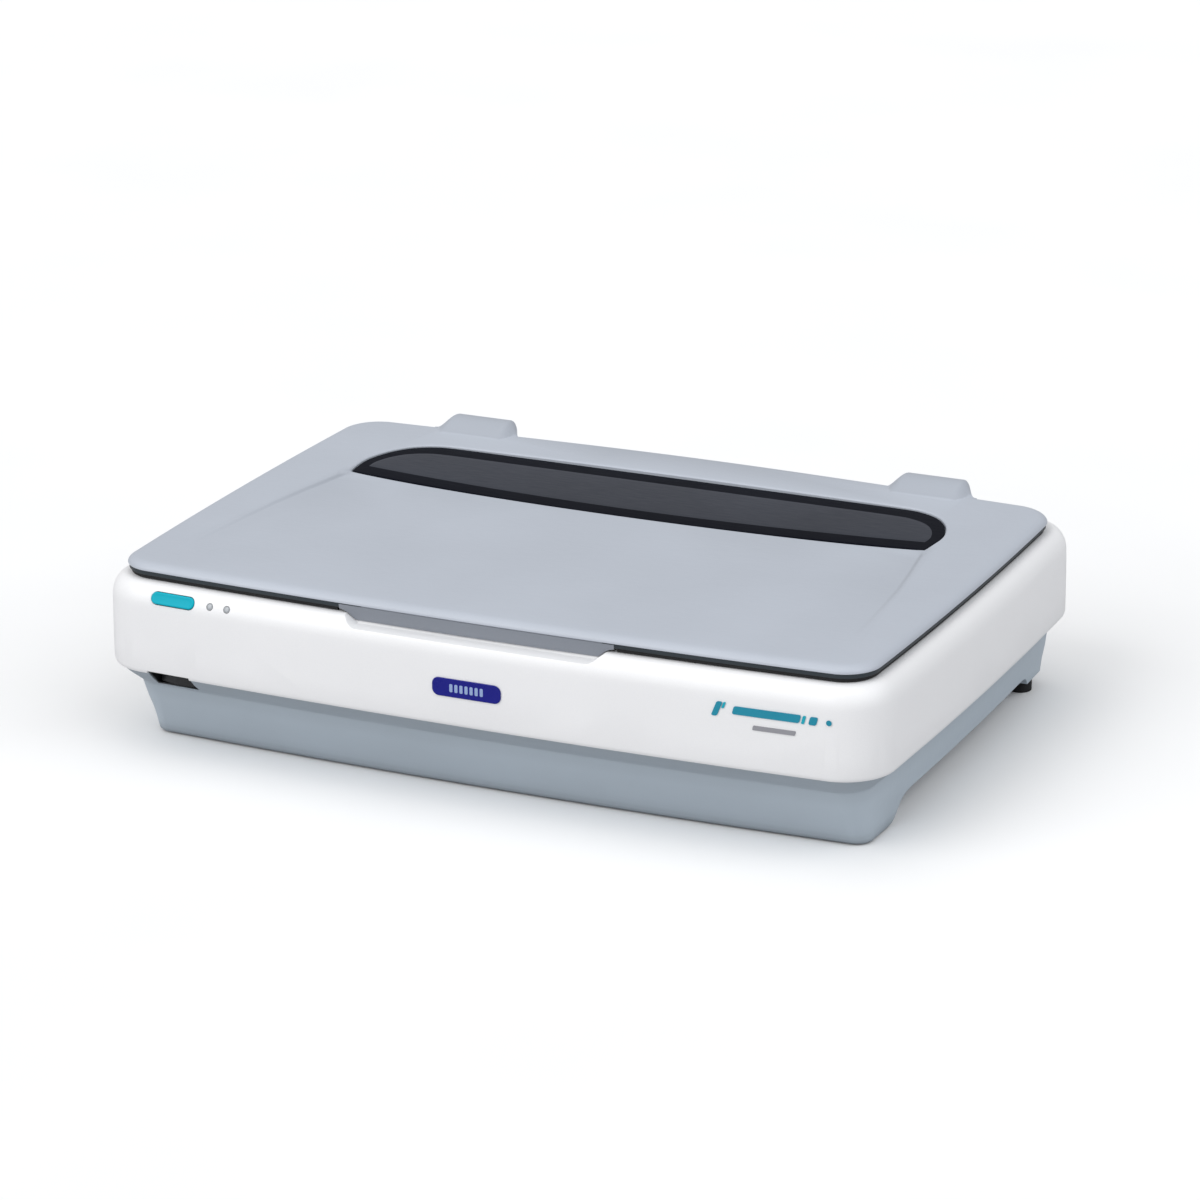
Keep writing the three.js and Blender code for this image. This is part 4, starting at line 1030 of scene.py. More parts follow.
def header(x0, x1, y0, y1, height, count):
    """Shrouded connector and its row of pins."""
    wall, z = 1.2, PARTS_Z
    shroud = edged_box(x0, x1, y0, y1, z, z + height, 0.4)
    cut(shroud, box(x0 + wall, x1 - wall, y0 + wall, y1 - wall, z + 1.5, z + height + 3))
    pins = []
    for k in range(count):
        t = (k + 0.5) / count
        x, y = (x0 + x1) / 2, (y0 + y1) / 2
        if x1 - x0 > y1 - y0:
            x = x0 + wall + (x1 - x0 - 2 * wall) * t
        else:
            y = y0 + wall + (y1 - y0 - 2 * wall) * t
        pins.append(box(x - 0.32, x + 0.32, y - 0.32, y + 0.32, z + 1, z + height - 1.2))
    return shroud, pins


def board(x, y, width, height, low, holes=(), axis="z", corner=1.5):
    high = low + BOARD_THICK
    plate = prism(round_rect(x, y, width, height, corner, 4), low, high, axis)
    cut(plate, *[bore(axis, a, b, low - 1, high + 1, 1.7, 20) for a, b in holes])
    return soften(plate, 0.15, 50, 1)


def passives(x0, x1, y0, y1, count, taken):
    """Small parts scattered where nothing else stands: their bodies and their ends."""
    bodies, ends = [], []
    z = PARTS_Z
    for _ in range(count * 6):
        if len(bodies) >= count:
            break
        x, y = draw.uniform(x0, x1), draw.uniform(y0, y1)
        if any(a - 3 < x < b + 3 and c - 3 < y < d + 3 for a, b, c, d in taken):
            continue
        taken.append((x - 1, x + 1, y - 1, y + 1))
        w, d = (1.6, 0.8) if draw.random() < 0.5 else (0.8, 1.6)
        bodies.append(
            box(x - w * 0.62, x + w * 0.62, y - d * 0.62, y + d * 0.62, z, z + 0.7)
        )
        for end in (-1, 1):
            ex, ey = (x + end * w * 0.75, y) if w > d else (x, y + end * d * 0.75)
            ends.append(box(ex - 0.35, ex + 0.35, ey - 0.35, ey + 0.35, z, z + 0.74))
    return bodies, ends


def cans(name, rows):
    extra(name, join([can(*row) for row in rows]), "capacitor_sleeve")


def build_main_board():
    plate = board(-45, 15, 210, 150, BOARD_Z, MAIN_HOLES)
    stand_in("main_board", plate, "solder_mask")
    # x, y, width, depth
    chips = [
        (-43, 7, 34, 34), (-99, 31, 22, 22), (11, 36, 22, 12), (-100, -30, 20, 10),
        (-70, -30, 20, 10), (-10, -34, 14, 9), (20, 70, 18, 9), (-30, 60, 16, 8),
    ]
    black, leads = [], []
    for x, y, w, d in chips:
        body, legs = chip(x, y, PARTS_Z, w, d, 2.6 if w > 20 else 2.0)
        black.append(body)
        leads += legs
    shroud, pins = header(-140, -80, 78, 88, height=9.4, count=20)
    plug, plug_pins = header(30, 56, -50, -38, height=8.4, count=8)
    taken = [(x - w / 2, x + w / 2, y - d / 2, y + d / 2) for x, y, w, d in chips]
    taken += [(-142, -78, 76, 90), (28, 58, -52, -36)]
    bodies, ends = passives(-146, 56, -56, 86, 90, taken)
    extra("main_board_parts", join(black + [shroud] + bodies), "chip_epoxy")
    extra("main_board_leads", join(leads + pins + plug_pins + ends), "zinc_sheet")
    extra("main_board_plug", join([plug]), "white_plastic")
    spots = ((40, 10), (40, 20), (-136, -40), (-136, -28), (-20, 80))
    cans("main_board_cans", [(x, y, 3.2, 7) for x, y in spots])


def build_power_supply():
    plate = board(162.5, 20, 145, 160, BOARD_Z, SUPPLY_HOLES)
    stand_in("power_supply_board", plate, "solder_mask")
    core = edged_box(122, 160, -9, 31, PARTS_Z, 55, 0.6)
    cut(core, box(128, 154, -12, 34, 37, 50))
    coil = soften(prism(round_rect(141, 11, 34, 40, 5, 5), 36, 51), 0.8, 40)
    extra("transformer_core", join([core]), "dark_plastic")
    extra("coil", coil, "transformer_tape")
    cans("supply_cans", [
        (195, 20, 11, 25.4), (195, 50, 11, 25.4), (112, 50, 4, 11), (112, 60, 4, 11),
        (170, 70, 5, 14),
    ])
    sink = edged_box(108, 222, 78.4, 80, PARTS_Z, 56, 0.2, 1)
    add(sink, *[box(110 + k * 6, 111.2 + k * 6, 73.2, 78.7, 33.5, 55.4) for k in range(19)])
    extra("sink", sink, "bright_aluminium")
    plug, pins = header(180, 214, -45, -24, height=18, count=5)
    extra("supply_inlet_plug", join([plug]), "white_plastic")
    taken = [
        (118, 164, -14, 36), (182, 208, 6, 64), (176, 218, -50, -20), (104, 120, 40, 70),
        (160, 180, 60, 80),
    ]
    bodies, ends = passives(94, 231, -56, 72, 45, taken)
    fuse = edged_box(100, 106, -40, -16, PARTS_Z, 38, 0.8)
    extra("supply_parts", join(bodies + [fuse]), "chip_epoxy")
    extra("supply_leads", join(pins + ends), "zinc_sheet")


def build_interface_board():
    """Upright board inside the rear wall, its chips towards the front."""
    holes = ((-150, 115), (12, 115), (-150, 77), (12, 77))
    plate = board(-69, 96, 174, 48, 203, holes, axis="y")
    stand_in("interface_board", plate, "solder_mask")
    bodies, leads = [], []
    for x, z, w, d in ((-130, 96, 20, 12), (-30, 108, 14, 8), (-90, 80, 22, 8)):
        body, legs = chip(0, 0, 0, w, d, 2.0)
        upright = Matrix.Rotation(math.radians(90), 4, "X")
        matrix = Matrix.Translation(Vector((x, 202.95, z)) * MM) @ upright
        bodies.append(put(body, matrix))
        leads += [put(leg, matrix) for leg in legs]
    extra("interface_parts", join(bodies), "chip_epoxy")
    extra("interface_leads", join(leads), "zinc_sheet")


def build_sensor_board():
    plate = board(2.5, 91.5, 101, 41, -184.2, axis="x")
    stand_in("sensor_board", plate, "solder_mask", "carriage")
    sensor = edged_box(-187, -184.3, -33, 38, 90.5, 99.5, 0.3)
    cut(sensor, box(-190, -186.6, -29, 34, 93, 97))
    extra("ccd", sensor, "chip_epoxy", "carriage")
    window = box(-186.55, -186.3, -28.8, 33.8, 93.2, 96.8)
    extra("ccd_window", window, "silvered_glass", "carriage")
    pins = []
    for k in range(21):
        y = -31 + k * 3.35
        pins += [box(-186.2, -182.2, y - 0.25, y + 0.25, z - 0.25, z + 0.25) for z in (90.1, 99.9)]
    extra("ccd_pins", join(pins), "zinc_sheet", "carriage")


def build_control_board():
    """Board behind the button and the lights, with the switch that the button presses."""
    plate = put(board(0, -0.5, 76, 17, -15.4, corner=1), panel_frame(-235))
    stand_in("control_board", plate, "solder_mask")
    switch = edged_box(-3.5, 3.5, -3.5, 3.5, -13.75, -12.6, 0.3)
    add(switch, rod("z", 0, 0, -12.8, -11.2, 1.6, 24, chamfer=0.2))
    extra("tact", put(switch, panel_frame(BUTTON_X)), "dark_plastic")


# ------------------------------------------------------------------ badge and printed marks
# x, z, width, height, lean to the right, corner radius (and steps in a corner)
STRIPE = [
    (201.5, 112.0, 4.6, 11.5, 4.5, 1.4),
    (240.0, 112.4, 52.0, 6.4, 1.6, 1.6),
    (276.0, 112.2, 6.0, 6.4, 1.6, 1.4),
    (288.0, 112.2, 4.2, 4.2, 0, 2.05, 6),
]
FLECKS = [(206.8, 115.2, 2.0, 5.0, 1.8, 0.8), (268.6, 112.2, 2.4, 6.4, 1.6, 0.8)]
GREY_MARKS = [(246.0, 100.8, 33.0, 3.6, 0.8, 0.8)]


def wall_print(x, z, width, height, lean, radius, steps=5):
    """Thin raised print, leaning to the right, that follows the bowed front wall."""
    inner, outer = 0.02, 0.35
    corners = round_rect(x, z, width, height, radius, steps)
    leaning = [(a + lean * (b - z) / height, b) for a, b in corners]
    fine = []
    for (xa, za), (xb, zb) in zip(leaning, leaning[1:] + leaning[:1]):
        count = max(1, int(abs(xb - xa) / 4))
        fine += [(xa + (xb - xa) * j / count, za + (zb - za) * j / count) for j in range(count)]
    verts = [(a, front_y(a) - proud, b) for proud in (inner, outer) for a, b in fine]
    return solid(verts, closed_faces(2, len(fine)))


def build_marks():
    # (height, inset)
    rows = [(0.1, 0.35), (0.2, 0.1), (0.4, 0), (0.68, 0.12), (0.82, 0.4), (0.80, 1.0), (0.74, 1.5)]
    badge = stack(lambda i: round_rect(0, 0, 57 - 2 * i, 14.6 - 2 * i, 5.6 - i, 12), rows)
    place = wall_frame(0, BADGE_Z)
    stand_in("front_badge", put(badge, place), "badge_plastic", angle=40)
    bars = [prism(round_rect(-12.6 + k * 4.2, 0, 2.6, 6.4, 0.9, 4), 0.6, 0.9) for k in range(7)]
    extra("badge_bars", put(join(bars), place), "badge_mark_plastic", angle=40)
    stripe = join([wall_print(*row) for row in STRIPE])
    stand_in("accent_stripe", stripe, "accent_ink", angle=40)
    for name, rows, ink in (
        ("accent_fleck", FLECKS, "accent_bright_ink"),
        ("grey_marks", GREY_MARKS, "grey_ink"),
    ):
        extra(name, join([wall_print(*row) for row in rows]), ink, angle=40)


# ------------------------------------------------------------------ scales beside the glass
def tick_length(k):
    return 5.0 if k % 10 == 0 else (3.6 if k % 2 == 0 else 2.2)


def build_scales():
    pitch, front_y0, left_x = 5.0, -159.6, -223.1
    for name, rect in (("front_scale", (0, -165, 440, 12)), ("left_scale", (-228.75, 0, 12.5, 314))):
        strip = soften(prism(round_rect(*rect, 1.0, 4), 138.25, 138.8), 0.15, 40, 1)
        extra(name + "_fine", strip, "scale_film", node=name + "_strip")
    ticks = []
    for k in range(-43, 44):
        x = k * pitch
        ticks.append(
            box(x - 0.16, x + 0.16, front_y0 - tick_length(k), front_y0, 138.7, 138.86)
        )
    for k in range(-31, 32):
        y = k * pitch
        ticks.append(box(left_x - tick_length(k), left_x, y - 0.16, y + 0.16, 138.7, 138.86))
    extra("scale_ticks", join(ticks), "tick_ink")
    arrow = [
        (-226.5, -161.5), (-233.2, -163.6), (-230.6, -164.8), (-234.4, -168.6),
        (-233.0, -170.0), (-229.2, -166.2), (-228.0, -168.2),
    ]
    extra("origin_arrow", prism(arrow, 138.7, 138.95), "tick_ink")


# ------------------------------------------------------------------ carriage drive and guides
def build_guide_rod():
    half = [(0, 277.5), (4.0, 277.5), (4.6, 277.3), (4.9, 276.9), (ROD_RADIUS, 276.2)]
    bar = lathe(two_ended(half), (0, ROD_Y, ROD_Z), "x")
    stand_in("guide_rod", bar, "ground_steel")


def build_motor():
    centre = (DRIVE_X, BELT_Y, 0)
    motor = lathe([
        (0, 25.3), (17.6, 25.3), (18.6, 25.6), (19, 26.4), (19, 45.4), (18.7, 46.4),
        (18.0, 47.1), (0, 47.1),
    ], centre, segments=72)
    boss = [(0, 48), (6, 48), (6, 49.4), (5.6, 49.8), (0, 49.8)]
    add(motor, prism(round_rect(DRIVE_X, BELT_Y, 44, 44, 6, 10), 46.9, 48.8))
    add(motor, lathe(boss, centre, segments=48))
    cut(motor, bore("z", DRIVE_X, BELT_Y, 36, 55, 2.9, 40))
    for sx in (-1, 1):
        for sy in (-1, 1):
            cut(motor, bore("z", DRIVE_X + sx * 17.5, BELT_Y + sy * 17.5, 46, 50, 1.7, 24))
    # Upright grooves round the can
    for k in range(16):
        a = 2 * math.pi * k / 16
        place = Vector((DRIVE_X + 19 * math.cos(a), BELT_Y + 19 * math.sin(a), 0)) * MM
        matrix = Matrix.Translation(place) @ Matrix.Rotation(a, 4, "Z")
        cut(motor, put(box(-0.5, 0.5, -0.6, 0.6, 29, 43), matrix))
    stand_in("drive_motor", soften(motor, 0.25, 50, 1), "zinc_sheet")


def pulley(x):
    """Toothed wheel with a flange above and below."""
    teeth, depth = 26, 0.7
    # (share of the pitch, share of the tooth depth)
    tooth = ((0.02, 0), (0.25, 0), (0.5, 0), (0.60, 1), (0.76, 1.05), (0.92, 1))
    points = []
    for k in range(teeth):
        for along, share in tooth:
            a = 2 * math.pi / teeth * (k + along)
            radius = PULLEY_RADIUS - depth * share
            points.append((x + radius * math.cos(a), BELT_Y + radius * math.sin(a)))
    flanges = [rod("z", x, BELT_Y, low, low + 1.2, 9.7, 64) for low in (50.3, 58.5)]
    return add(prism(points, 51.3, 58.7), *flanges)


def build_pulleys():
    drive = pulley(DRIVE_X)
    shaft = rod("z", DRIVE_X, BELT_Y, 38, 62, 2.5, 40)
    cut(shaft, box(DRIVE_X + 1.9, DRIVE_X + 4, BELT_Y - 5, BELT_Y + 5, 59.7, 65))
    stand_in("drive_pulley", add(drive, shaft), "sintered_brass", "drive_pulley", 30)
    idler = cut(pulley(IDLER_X), bore("z", IDLER_X, BELT_Y, 45, 65, 2.8, 40))
    stand_in("idler_pulley", idler, "sintered_brass", "idler_pulley", 30)


def build_idler_bracket():
    bracket = prism(round_rect(IDLER_X + 1, BELT_Y, 26, 24, 3, 8), 25.3, 28)
    post = [
        (0, 27), (6.2, 27), (5.6, 28.4), (5, 29.4), (5, 49.2), (4.4, 49.8), (2.5, 49.8),
        (2.5, 60.9), (1.9, 61.5), (0, 61.5),
    ]
    add(bracket, lathe(post, (IDLER_X, BELT_Y, 0), segments=48))
    add(bracket, box(-264, -262, BELT_Y - 5, BELT_Y + 5, 27.5, 37))
    cut(bracket, bore("x", BELT_Y, 33.5, -266, -260, 1.1, 24))
    stand_in("idler_bracket", soften(bracket, 0.25, 45), "zinc_sheet")


BELT_SPAN, BELT_ARC = DRIVE_X - IDLER_X, math.pi * PULLEY_RADIUS
BELT_LENGTH = 2 * BELT_SPAN + 2 * BELT_ARC


def belt_point(s, radius):
    """Point at distance s round the belt's loop, from the front of the idler to the right."""
    s %= BELT_LENGTH
    if s < BELT_SPAN:
        return (IDLER_X + s, BELT_Y - radius)
    s -= BELT_SPAN
    if s < BELT_ARC:
        a = -math.pi / 2 + s / PULLEY_RADIUS
        return (DRIVE_X + radius * math.cos(a), BELT_Y + radius * math.sin(a))
    s -= BELT_ARC
    if s < BELT_SPAN:
        return (DRIVE_X - s, BELT_Y + radius)
    a = math.pi / 2 + (s - BELT_SPAN) / PULLEY_RADIUS
    return (IDLER_X + radius * math.cos(a), BELT_Y + radius * math.sin(a))


def build_belt():
    teeth = int(BELT_LENGTH / 2.03)
    # (share of the pitch, height of the inner face above the pulley)
    tooth = ((0.0, 0.75), (0.30, 0.75), (0.42, 0.32), (0.86, 0.32))
    inner, outer = [], []
    for k in range(teeth):
        for along, height in tooth:
            s = (k + along) * BELT_LENGTH / teeth
            inner.append(belt_point(s, PULLEY_RADIUS + height))
            outer.append(belt_point(s, PULLEY_RADIUS + 1.6))
    n = len(inner)
    verts = [(x, y, z) for run in (inner, outer) for z in (52, 58) for x, y in run]
    faces = []
    for i in range(n):
        j = (i + 1) % n
        faces += [(i, n + i, n + j, j), (2 * n + i, 2 * n + j, 3 * n + j, 3 * n + i)]
        faces += [(i, j, 2 * n + j, 2 * n + i), (n + i, 3 * n + i, 3 * n + j, n + j)]
    stand_in("timing_belt", solid(verts, faces), "belt_rubber", angle=30)


def build_spring():
    turns, turn_steps, radius = 11, 26, 3
    path = [(-262.6, BELT_Y, 35.9), (-261.8, BELT_Y, 36.2), (-261.0, BELT_Y + 0.4, 36.15)]
    for k in range(turns * turn_steps + 1):
        t = k / (turns * turn_steps)
        a = math.pi / 2 + 2 * math.pi * turns * t
        y, z = BELT_Y + radius * math.cos(a), 33.1 + radius * math.sin(a)
        path.append((-260.6 + 23.2 * t, y, z))
    path += [(-236.9, BELT_Y + 0.3, 36.0), (-236.5, BELT_Y, 35.6)]
    stand_in("belt_tension_spring", tube(path, 0.45), "turned_steel", angle=60)


# ------------------------------------------------------------------ rear ports
def build_rear_ports():
    pins = []
    for row, z in ((0, 90.6), (1, 93.4)):
        for k in range(25):
            x = -107 + k * 2.16 + row * 0.3
            pins.append(edged_box(x - 0.35, x + 0.35, 215, 224, z - 0.35, z + 0.35, 0.1, 1))
    extra("scsi_pins", join(pins), "sintered_brass")
    tongue = edged_box(-16.6, -11.4, 213, 225, 89.6, 93.4, 0.4)
    extra("usb_tongue", tongue, "white_plastic")
    blades = [
        edged_box(x - 1.0, x + 1.0, 209, 225, z - 3.2, z + 3.2, 0.3)
        for x, z in ((128, 89), (142, 89), (135, 92.6))
    ]
    extra("inlet_blades", join(blades), "turned_steel")
    spots = [(x, 223.4, z, 2.6) for x, z in ((-130, 92), (-31, 92), (-148, 80), (8, 104))]
    spots += [(x, 222.5, 90, 1.9) for x in (118.4, 151.6)]
    screws("rear_screws", "housing", spots, tilt=-90)
    label = prism(round_rect(-222, 92, 62, 26, 1.2), 227.2, 227.9, "y")
    extra("rating_label", label, "scale_film")
    rules = []
    for k in range(6):
        rule = round_rect(-224 + (k % 2) * 2, 100.5 - k * 3.6, 46 - (k % 3) * 7, 0.9, 0.4, 3)
        rules.append(prism(rule, 227.8, 228.1, "y"))
    extra("label_rules", join(rules), "tick_ink")


# ------------------------------------------------------------------ carriage
def build_bushes():
    inner = ROD_RADIUS + 0.3
    for node, x in (("front_bush_left", -262), ("front_bush_right", -206)):
        profile = [
            (inner, x - 0.6), (inner + 0.5, x - 1), (8.4, x - 1), (8.8, x - 0.8), (9, x - 0.3),
            (9, x + 14.3), (8.8, x + 14.8), (8.4, x + 15), (inner + 0.5, x + 15),
            (inner, x + 14.6),
        ]
        bush = lathe(profile, (0, ROD_Y, ROD_Z), "x")
        stand_in(node, bush, "sintered_brass", "carriage")


def build_lamp():
    centre = (LAMP_X, 0, LAMP_Z)
    half = [(0, 155.6), (1.6, 155.6), (2.6, 155.2), (3.05, 154), (3.1, 152.5)]
    lamp = lathe(two_ended(half), centre, "y", 48)
    stand_in("lamp_tube", lamp, "lamp_phosphor", "carriage")
    cap = [(0, 162), (2.4, 162), (2.9, 161.7), (3.1, 161.1), (3.1, 155.2), (2.9, 154.6), (0, 154.6)]
    caps = [lathe([(r, side * h) for r, h in cap], centre, "y", 48) for side in (-1, 1)]
    extra("lamp_end_caps", join(caps), "dark_plastic", "carriage")


def build_lens():
    centre = (0, 2.5, 95)
    profile = [(0, -190), (8.2, -190), (8.7, -190.3), (9, -190.8)]
    for k in range(9):
        x = -193.5 - k * 1.1
        profile += [(9, x), (8.7, x - 0.3), (8.7, x - 0.7), (9, x - 1.0)]
    profile += [
        (9, -205), (9, -212.6), (8.7, -213.4), (7.4, -213.6), (7.4, -217.2), (7.1, -217.8),
        (6.6, -218), (5.9, -217.2), (5.6, -215.4), (0, -215.4),
    ]
    barrel = lathe(profile, centre, "x")
    stand_in("lens_barrel", barrel, "black_plastic", "carriage")
    profile = [(0, -216.9), (2.5, -216.75), (4.4, -216.2), (5.5, -215.5), (5.5, -215.2), (0, -215.2)]
    lens = lathe(profile, centre, "x", 48)
    extra("front_lens", lens, "window_plastic", "carriage")


def build_carriage():
    build_bushes()
    build_lamp()
    build_lens()
    spots = [(x, y, 118.3, 2.2) for x in (-290, -182) for y in (-157, 162)]
    screws("cover_screws", "carriage", spots)


# ------------------------------------------------------------------ transport lock
def build_lock():
    """Knurled, slotted knob under the tray, with a long stem and a key at its top."""
    lock = lathe([
        (0, 17.2), (10.9, 17.2), (11.6, 17.5), (12, 18.2), (12, 20.9), (11.6, 21.5),
        (11, 21.7), (0, 21.7),
    ], (LOCK_X, LOCK_Y, 0), segments=72)
    for x, y in arc(LOCK_X, LOCK_Y, 12.3, [15 * k for k in range(24)]):
        cut(lock, rod("z", x, y, 16, 23, 0.8, 12, chamfer=0.02))
    cut(lock, prism(round_rect(LOCK_X, LOCK_Y, 18, 2.4, 1.1, 6), 15, 19.4))
    add(lock, rod("z", LOCK_X, LOCK_Y, 21, 69.5, 4, 40, chamfer=0.4))
    add(lock, soften(prism(round_rect(LOCK_X, LOCK_Y, 22, 6, 2, 8), 66, 70), 0.5, 40))
    stand_in("transport_lock", lock, "black_plastic", "transport_lock")


# ------------------------------------------------------------------ hinges
def hinge_bore(x, reach):
    return bore("x", HINGE_Y, HINGE_Z, x - reach, x + reach, HINGE_BORE)


def hinge_post(x):
    profile = [(210.5, 77), (219.5, 77), (219.5, 139.4), (219.9, 141.4), (220.3, 143.2)]
    profile += arc(HINGE_Y, HINGE_Z, 6.5, range(-33, 214, 6))
    profile += [(209.7, 143.2), (210.1, 141.4), (210.5, 139.4)]
    post = soften(prism(profile, x - 12, x + 12, "x"), 0.5, 50)
    cut(post, hinge_bore(x, 13))
    return cut(post, *[box(x + k - 3, x + k + 3, 208, 211.3, 82, 134) for k in (-5, 5)])


def hinge_bracket(x):
    """Flat plate with two ears that hold the pin."""
    bracket = prism(round_rect(x, 185, 40, 34, 3, 8), 144.6, 146.6)
    ear = [(198, 144.6), (204, 143.2), (210.2, 143.0)]
    ear += arc(HINGE_Y, HINGE_Z, 6.2, range(-140, 141, 8))
    ear += [(208.0, 150.6), (203, 149.6), (198, 146.6)]
    for x0, x1 in ((x - 18.5, x - 13.2), (x + 13.2, x + 18.5)):
        add(bracket, prism(ear, x0, x1, "x"))
    return soften(cut(bracket, hinge_bore(x, 30)), 0.3, 45)


def build_hinges():
    half_pin = [
        (0, 21.5), (2.0, 21.5), (2.7, 21.2), (3.0, 20.6), (3.0, 19.6), (2.6, 19.5),
        (2.6, 19.0), (3.0, 18.9),
    ]
    for side, x in (("left", -HINGE_X), ("right", HINGE_X)):
        stand_in(
            side + "_hinge_post", hinge_post(x), "dark_plastic", "hinge_posts"
        )
        pin = lathe(two_ended(half_pin, x), (0, HINGE_Y, HINGE_Z), "x", 56)
        stand_in(side + "_hinge_pin", pin, "turned_steel", "lid")
        stand_in(side + "_hinge_bracket", hinge_bracket(x), "zinc_sheet", "lid")


# ------------------------------------------------------------------ lid surface
# Window's outline: half width, and y of its front edge in the middle and at the ends
WINDOW_HALF, WINDOW_FRONT_Y, WINDOW_END_Y = 249.6, 50.5, 69.2
WINDOW_RIGHT = [
    (WINDOW_HALF, WINDOW_END_Y), (251.6, 75.5), (253.2, 98), (250, 116), (243, 133), (232, 147),
    (216, 156), (196, 159),
]
# (x, y) of the right-hand crease in the lid's top, from the rear to the front
CREASE = [
    (252.6, 64), (256.0, 42), (262.0, 8), (267.5, -30), (271.5, -72), (274.6, -110), (277, -150),
]
# Distances inside the crease at which the top is meshed
CREASE_LINES = (-1.4, -0.6, 0.2, 1.0, 1.7, 2.2, 2.6, 3.1, 3.7, 4.6)
# Rounded rim of the window's opening: (distance out, height above the top)
RIM = [(0.0, -1.15), (0.35, -0.70), (0.8, -0.36), (1.5, -0.12), (2.4, 0.0)]
# (z, inset): a lower skirt set back by one millimetre, then the foot of the rounded edge
LID_SKIRT = [
    (141.5, 1.9), (141.62, 1.45), (141.9, 1.15), (142.3, 1.05), (145.0, 0.95), (145.12, 0.6),
    (145.3, 0.22), (145.6, 0.04),
]
LID_EDGE_Z, LID_EDGE_HEIGHT, LID_EDGE_RUN = 145.5, 5.5, 9.5


def window_outline():
    depth = WINDOW_END_Y - WINDOW_FRONT_Y
    xs = [-WINDOW_HALF + 2 * WINDOW_HALF * i / 64 for i in range(65)]
    front = [(x, WINDOW_FRONT_Y + depth * (x / WINDOW_HALF) ** 2) for x in xs]
    back = WINDOW_RIGHT + [(x, 159.6) for x in (130, 65, 0, -65, -130)]
    back += [(-x, y) for x, y in WINDOW_RIGHT[::-1]]
    return front + spline(back, 5)[2:-2]


def offset(points, distance):
    """Counter-clockwise outline moved outward."""
    moved = []
    for i, (x, y) in enumerate(points):
        before, after = points[i - 1], points[(i + 1) % len(points)]
        ax, ay = x - before[0], y - before[1]
        bx, by = after[0] - x, after[1] - y
        length_a, length_b = math.hypot(ax, ay) or 1, math.hypot(bx, by) or 1
        nx, ny = ay / length_a + by / length_b, -(ax / length_a + bx / length_b)
        size = math.hypot(nx, ny) or 1
        step = distance * min(1.6, 2.0 / max(0.25, size))
        moved.append((x + nx / size * step, y + ny / size * step))
    return moved


WINDOW_OUTLINE = window_outline()


def crease_x(y):
    if y >= CREASE[0][1]:
        return CREASE[0][0]
    for (xa, ya), (xb, yb) in zip(CREASE, CREASE[1:]):
        if yb <= y <= ya:
            return xa + (xb - xa) * (ya - y) / (ya - yb)
    return CREASE[-1][0]


def crown(x, y):
    """Slight doming of the top, growing towards the rear."""
    across = math.cos(math.pi / 2 * min(1.0, abs(x) / 255.0)) ** 2
    return 1.2 * across * smoothstep((y + 215) / 400.0)


def top_z(x, y):
    """Height of the lid's top, which is sunk between the creases in front of the window."""
    z = LID_TOP_Z + crown(x, y)
    if y < 110:
        inward = crease_x(y) - abs(x)
        depth = 2.2 * min(1.0, max(0.0, (y + 176) / 240.0)) ** 1.2
        z -= depth * smoothstep((inward + 1.4) / 5.0) * (1.0 - smoothstep((y - 58) / 30.0))
    return z


def inside(polygon, x, y):
    px, py = polygon[:, 0], polygon[:, 1]
    qx, qy = np.roll(px, -1), np.roll(py, -1)
    crosses = (py > y) != (qy > y)
    # Level edges divide by zero, and crosses leaves them out.
    with np.errstate(divide="ignore", invalid="ignore"):
        hit = (qx - px) * (y - py) / (qy - py) + px
    return bool(np.count_nonzero(crosses & (x < hit)) % 2)


class Plan:
    """Plan points and edges, some points with a height, for a constrained triangulation."""

    def __init__(self):
        self.points, self.edges, self.heights = [], [], {}

    def line(self, points, height=None, closed=True):
        start, count = len(self.points), len(points)
        self.points += points
        edge_count = count if closed else count - 1
        self.edges += [(start + i, start + (i + 1) % count) for i in range(edge_count)]
        if height is not None:
            self.heights.update({start + i: height for i in range(count)})

    def triangulate(self, kind):
        """Vertices, faces, and the plan points that each vertex came from."""
        points = [Vector(p) for p in self.points]
        result = delaunay_2d_cdt(points, self.edges, [], kind, 1e-5)
        return result[0], result[2], result[3]


def lid_plan(border):
    plan = Plan()
    plan.line(list(border))
    for distance, height in RIM:
        plan.line(offset(WINDOW_OUTLINE, distance), height)
    for side in (-1, 1):
        for inward in CREASE_LINES:
            ys = [54.0 - k * 5.0 for k in range(47)]
            plan.line([(side * (crease_x(y) - inward), y) for y in ys], closed=False)
    flat = np.array(lid_outline(12.5))
    near_window = np.array(offset(WINDOW_OUTLINE, 4.0))
    for x in np.arange(-300, 301, 10.0):
        for y in np.arange(-205, 206, 10.0):
            if not inside(flat, x, y) or inside(near_window, x, y):
                continue
            if -4.0 < crease_x(y) - abs(x) < 7.0 and y < 60:
                continue
            plan.line([(x, y)], closed=False)
    return plan


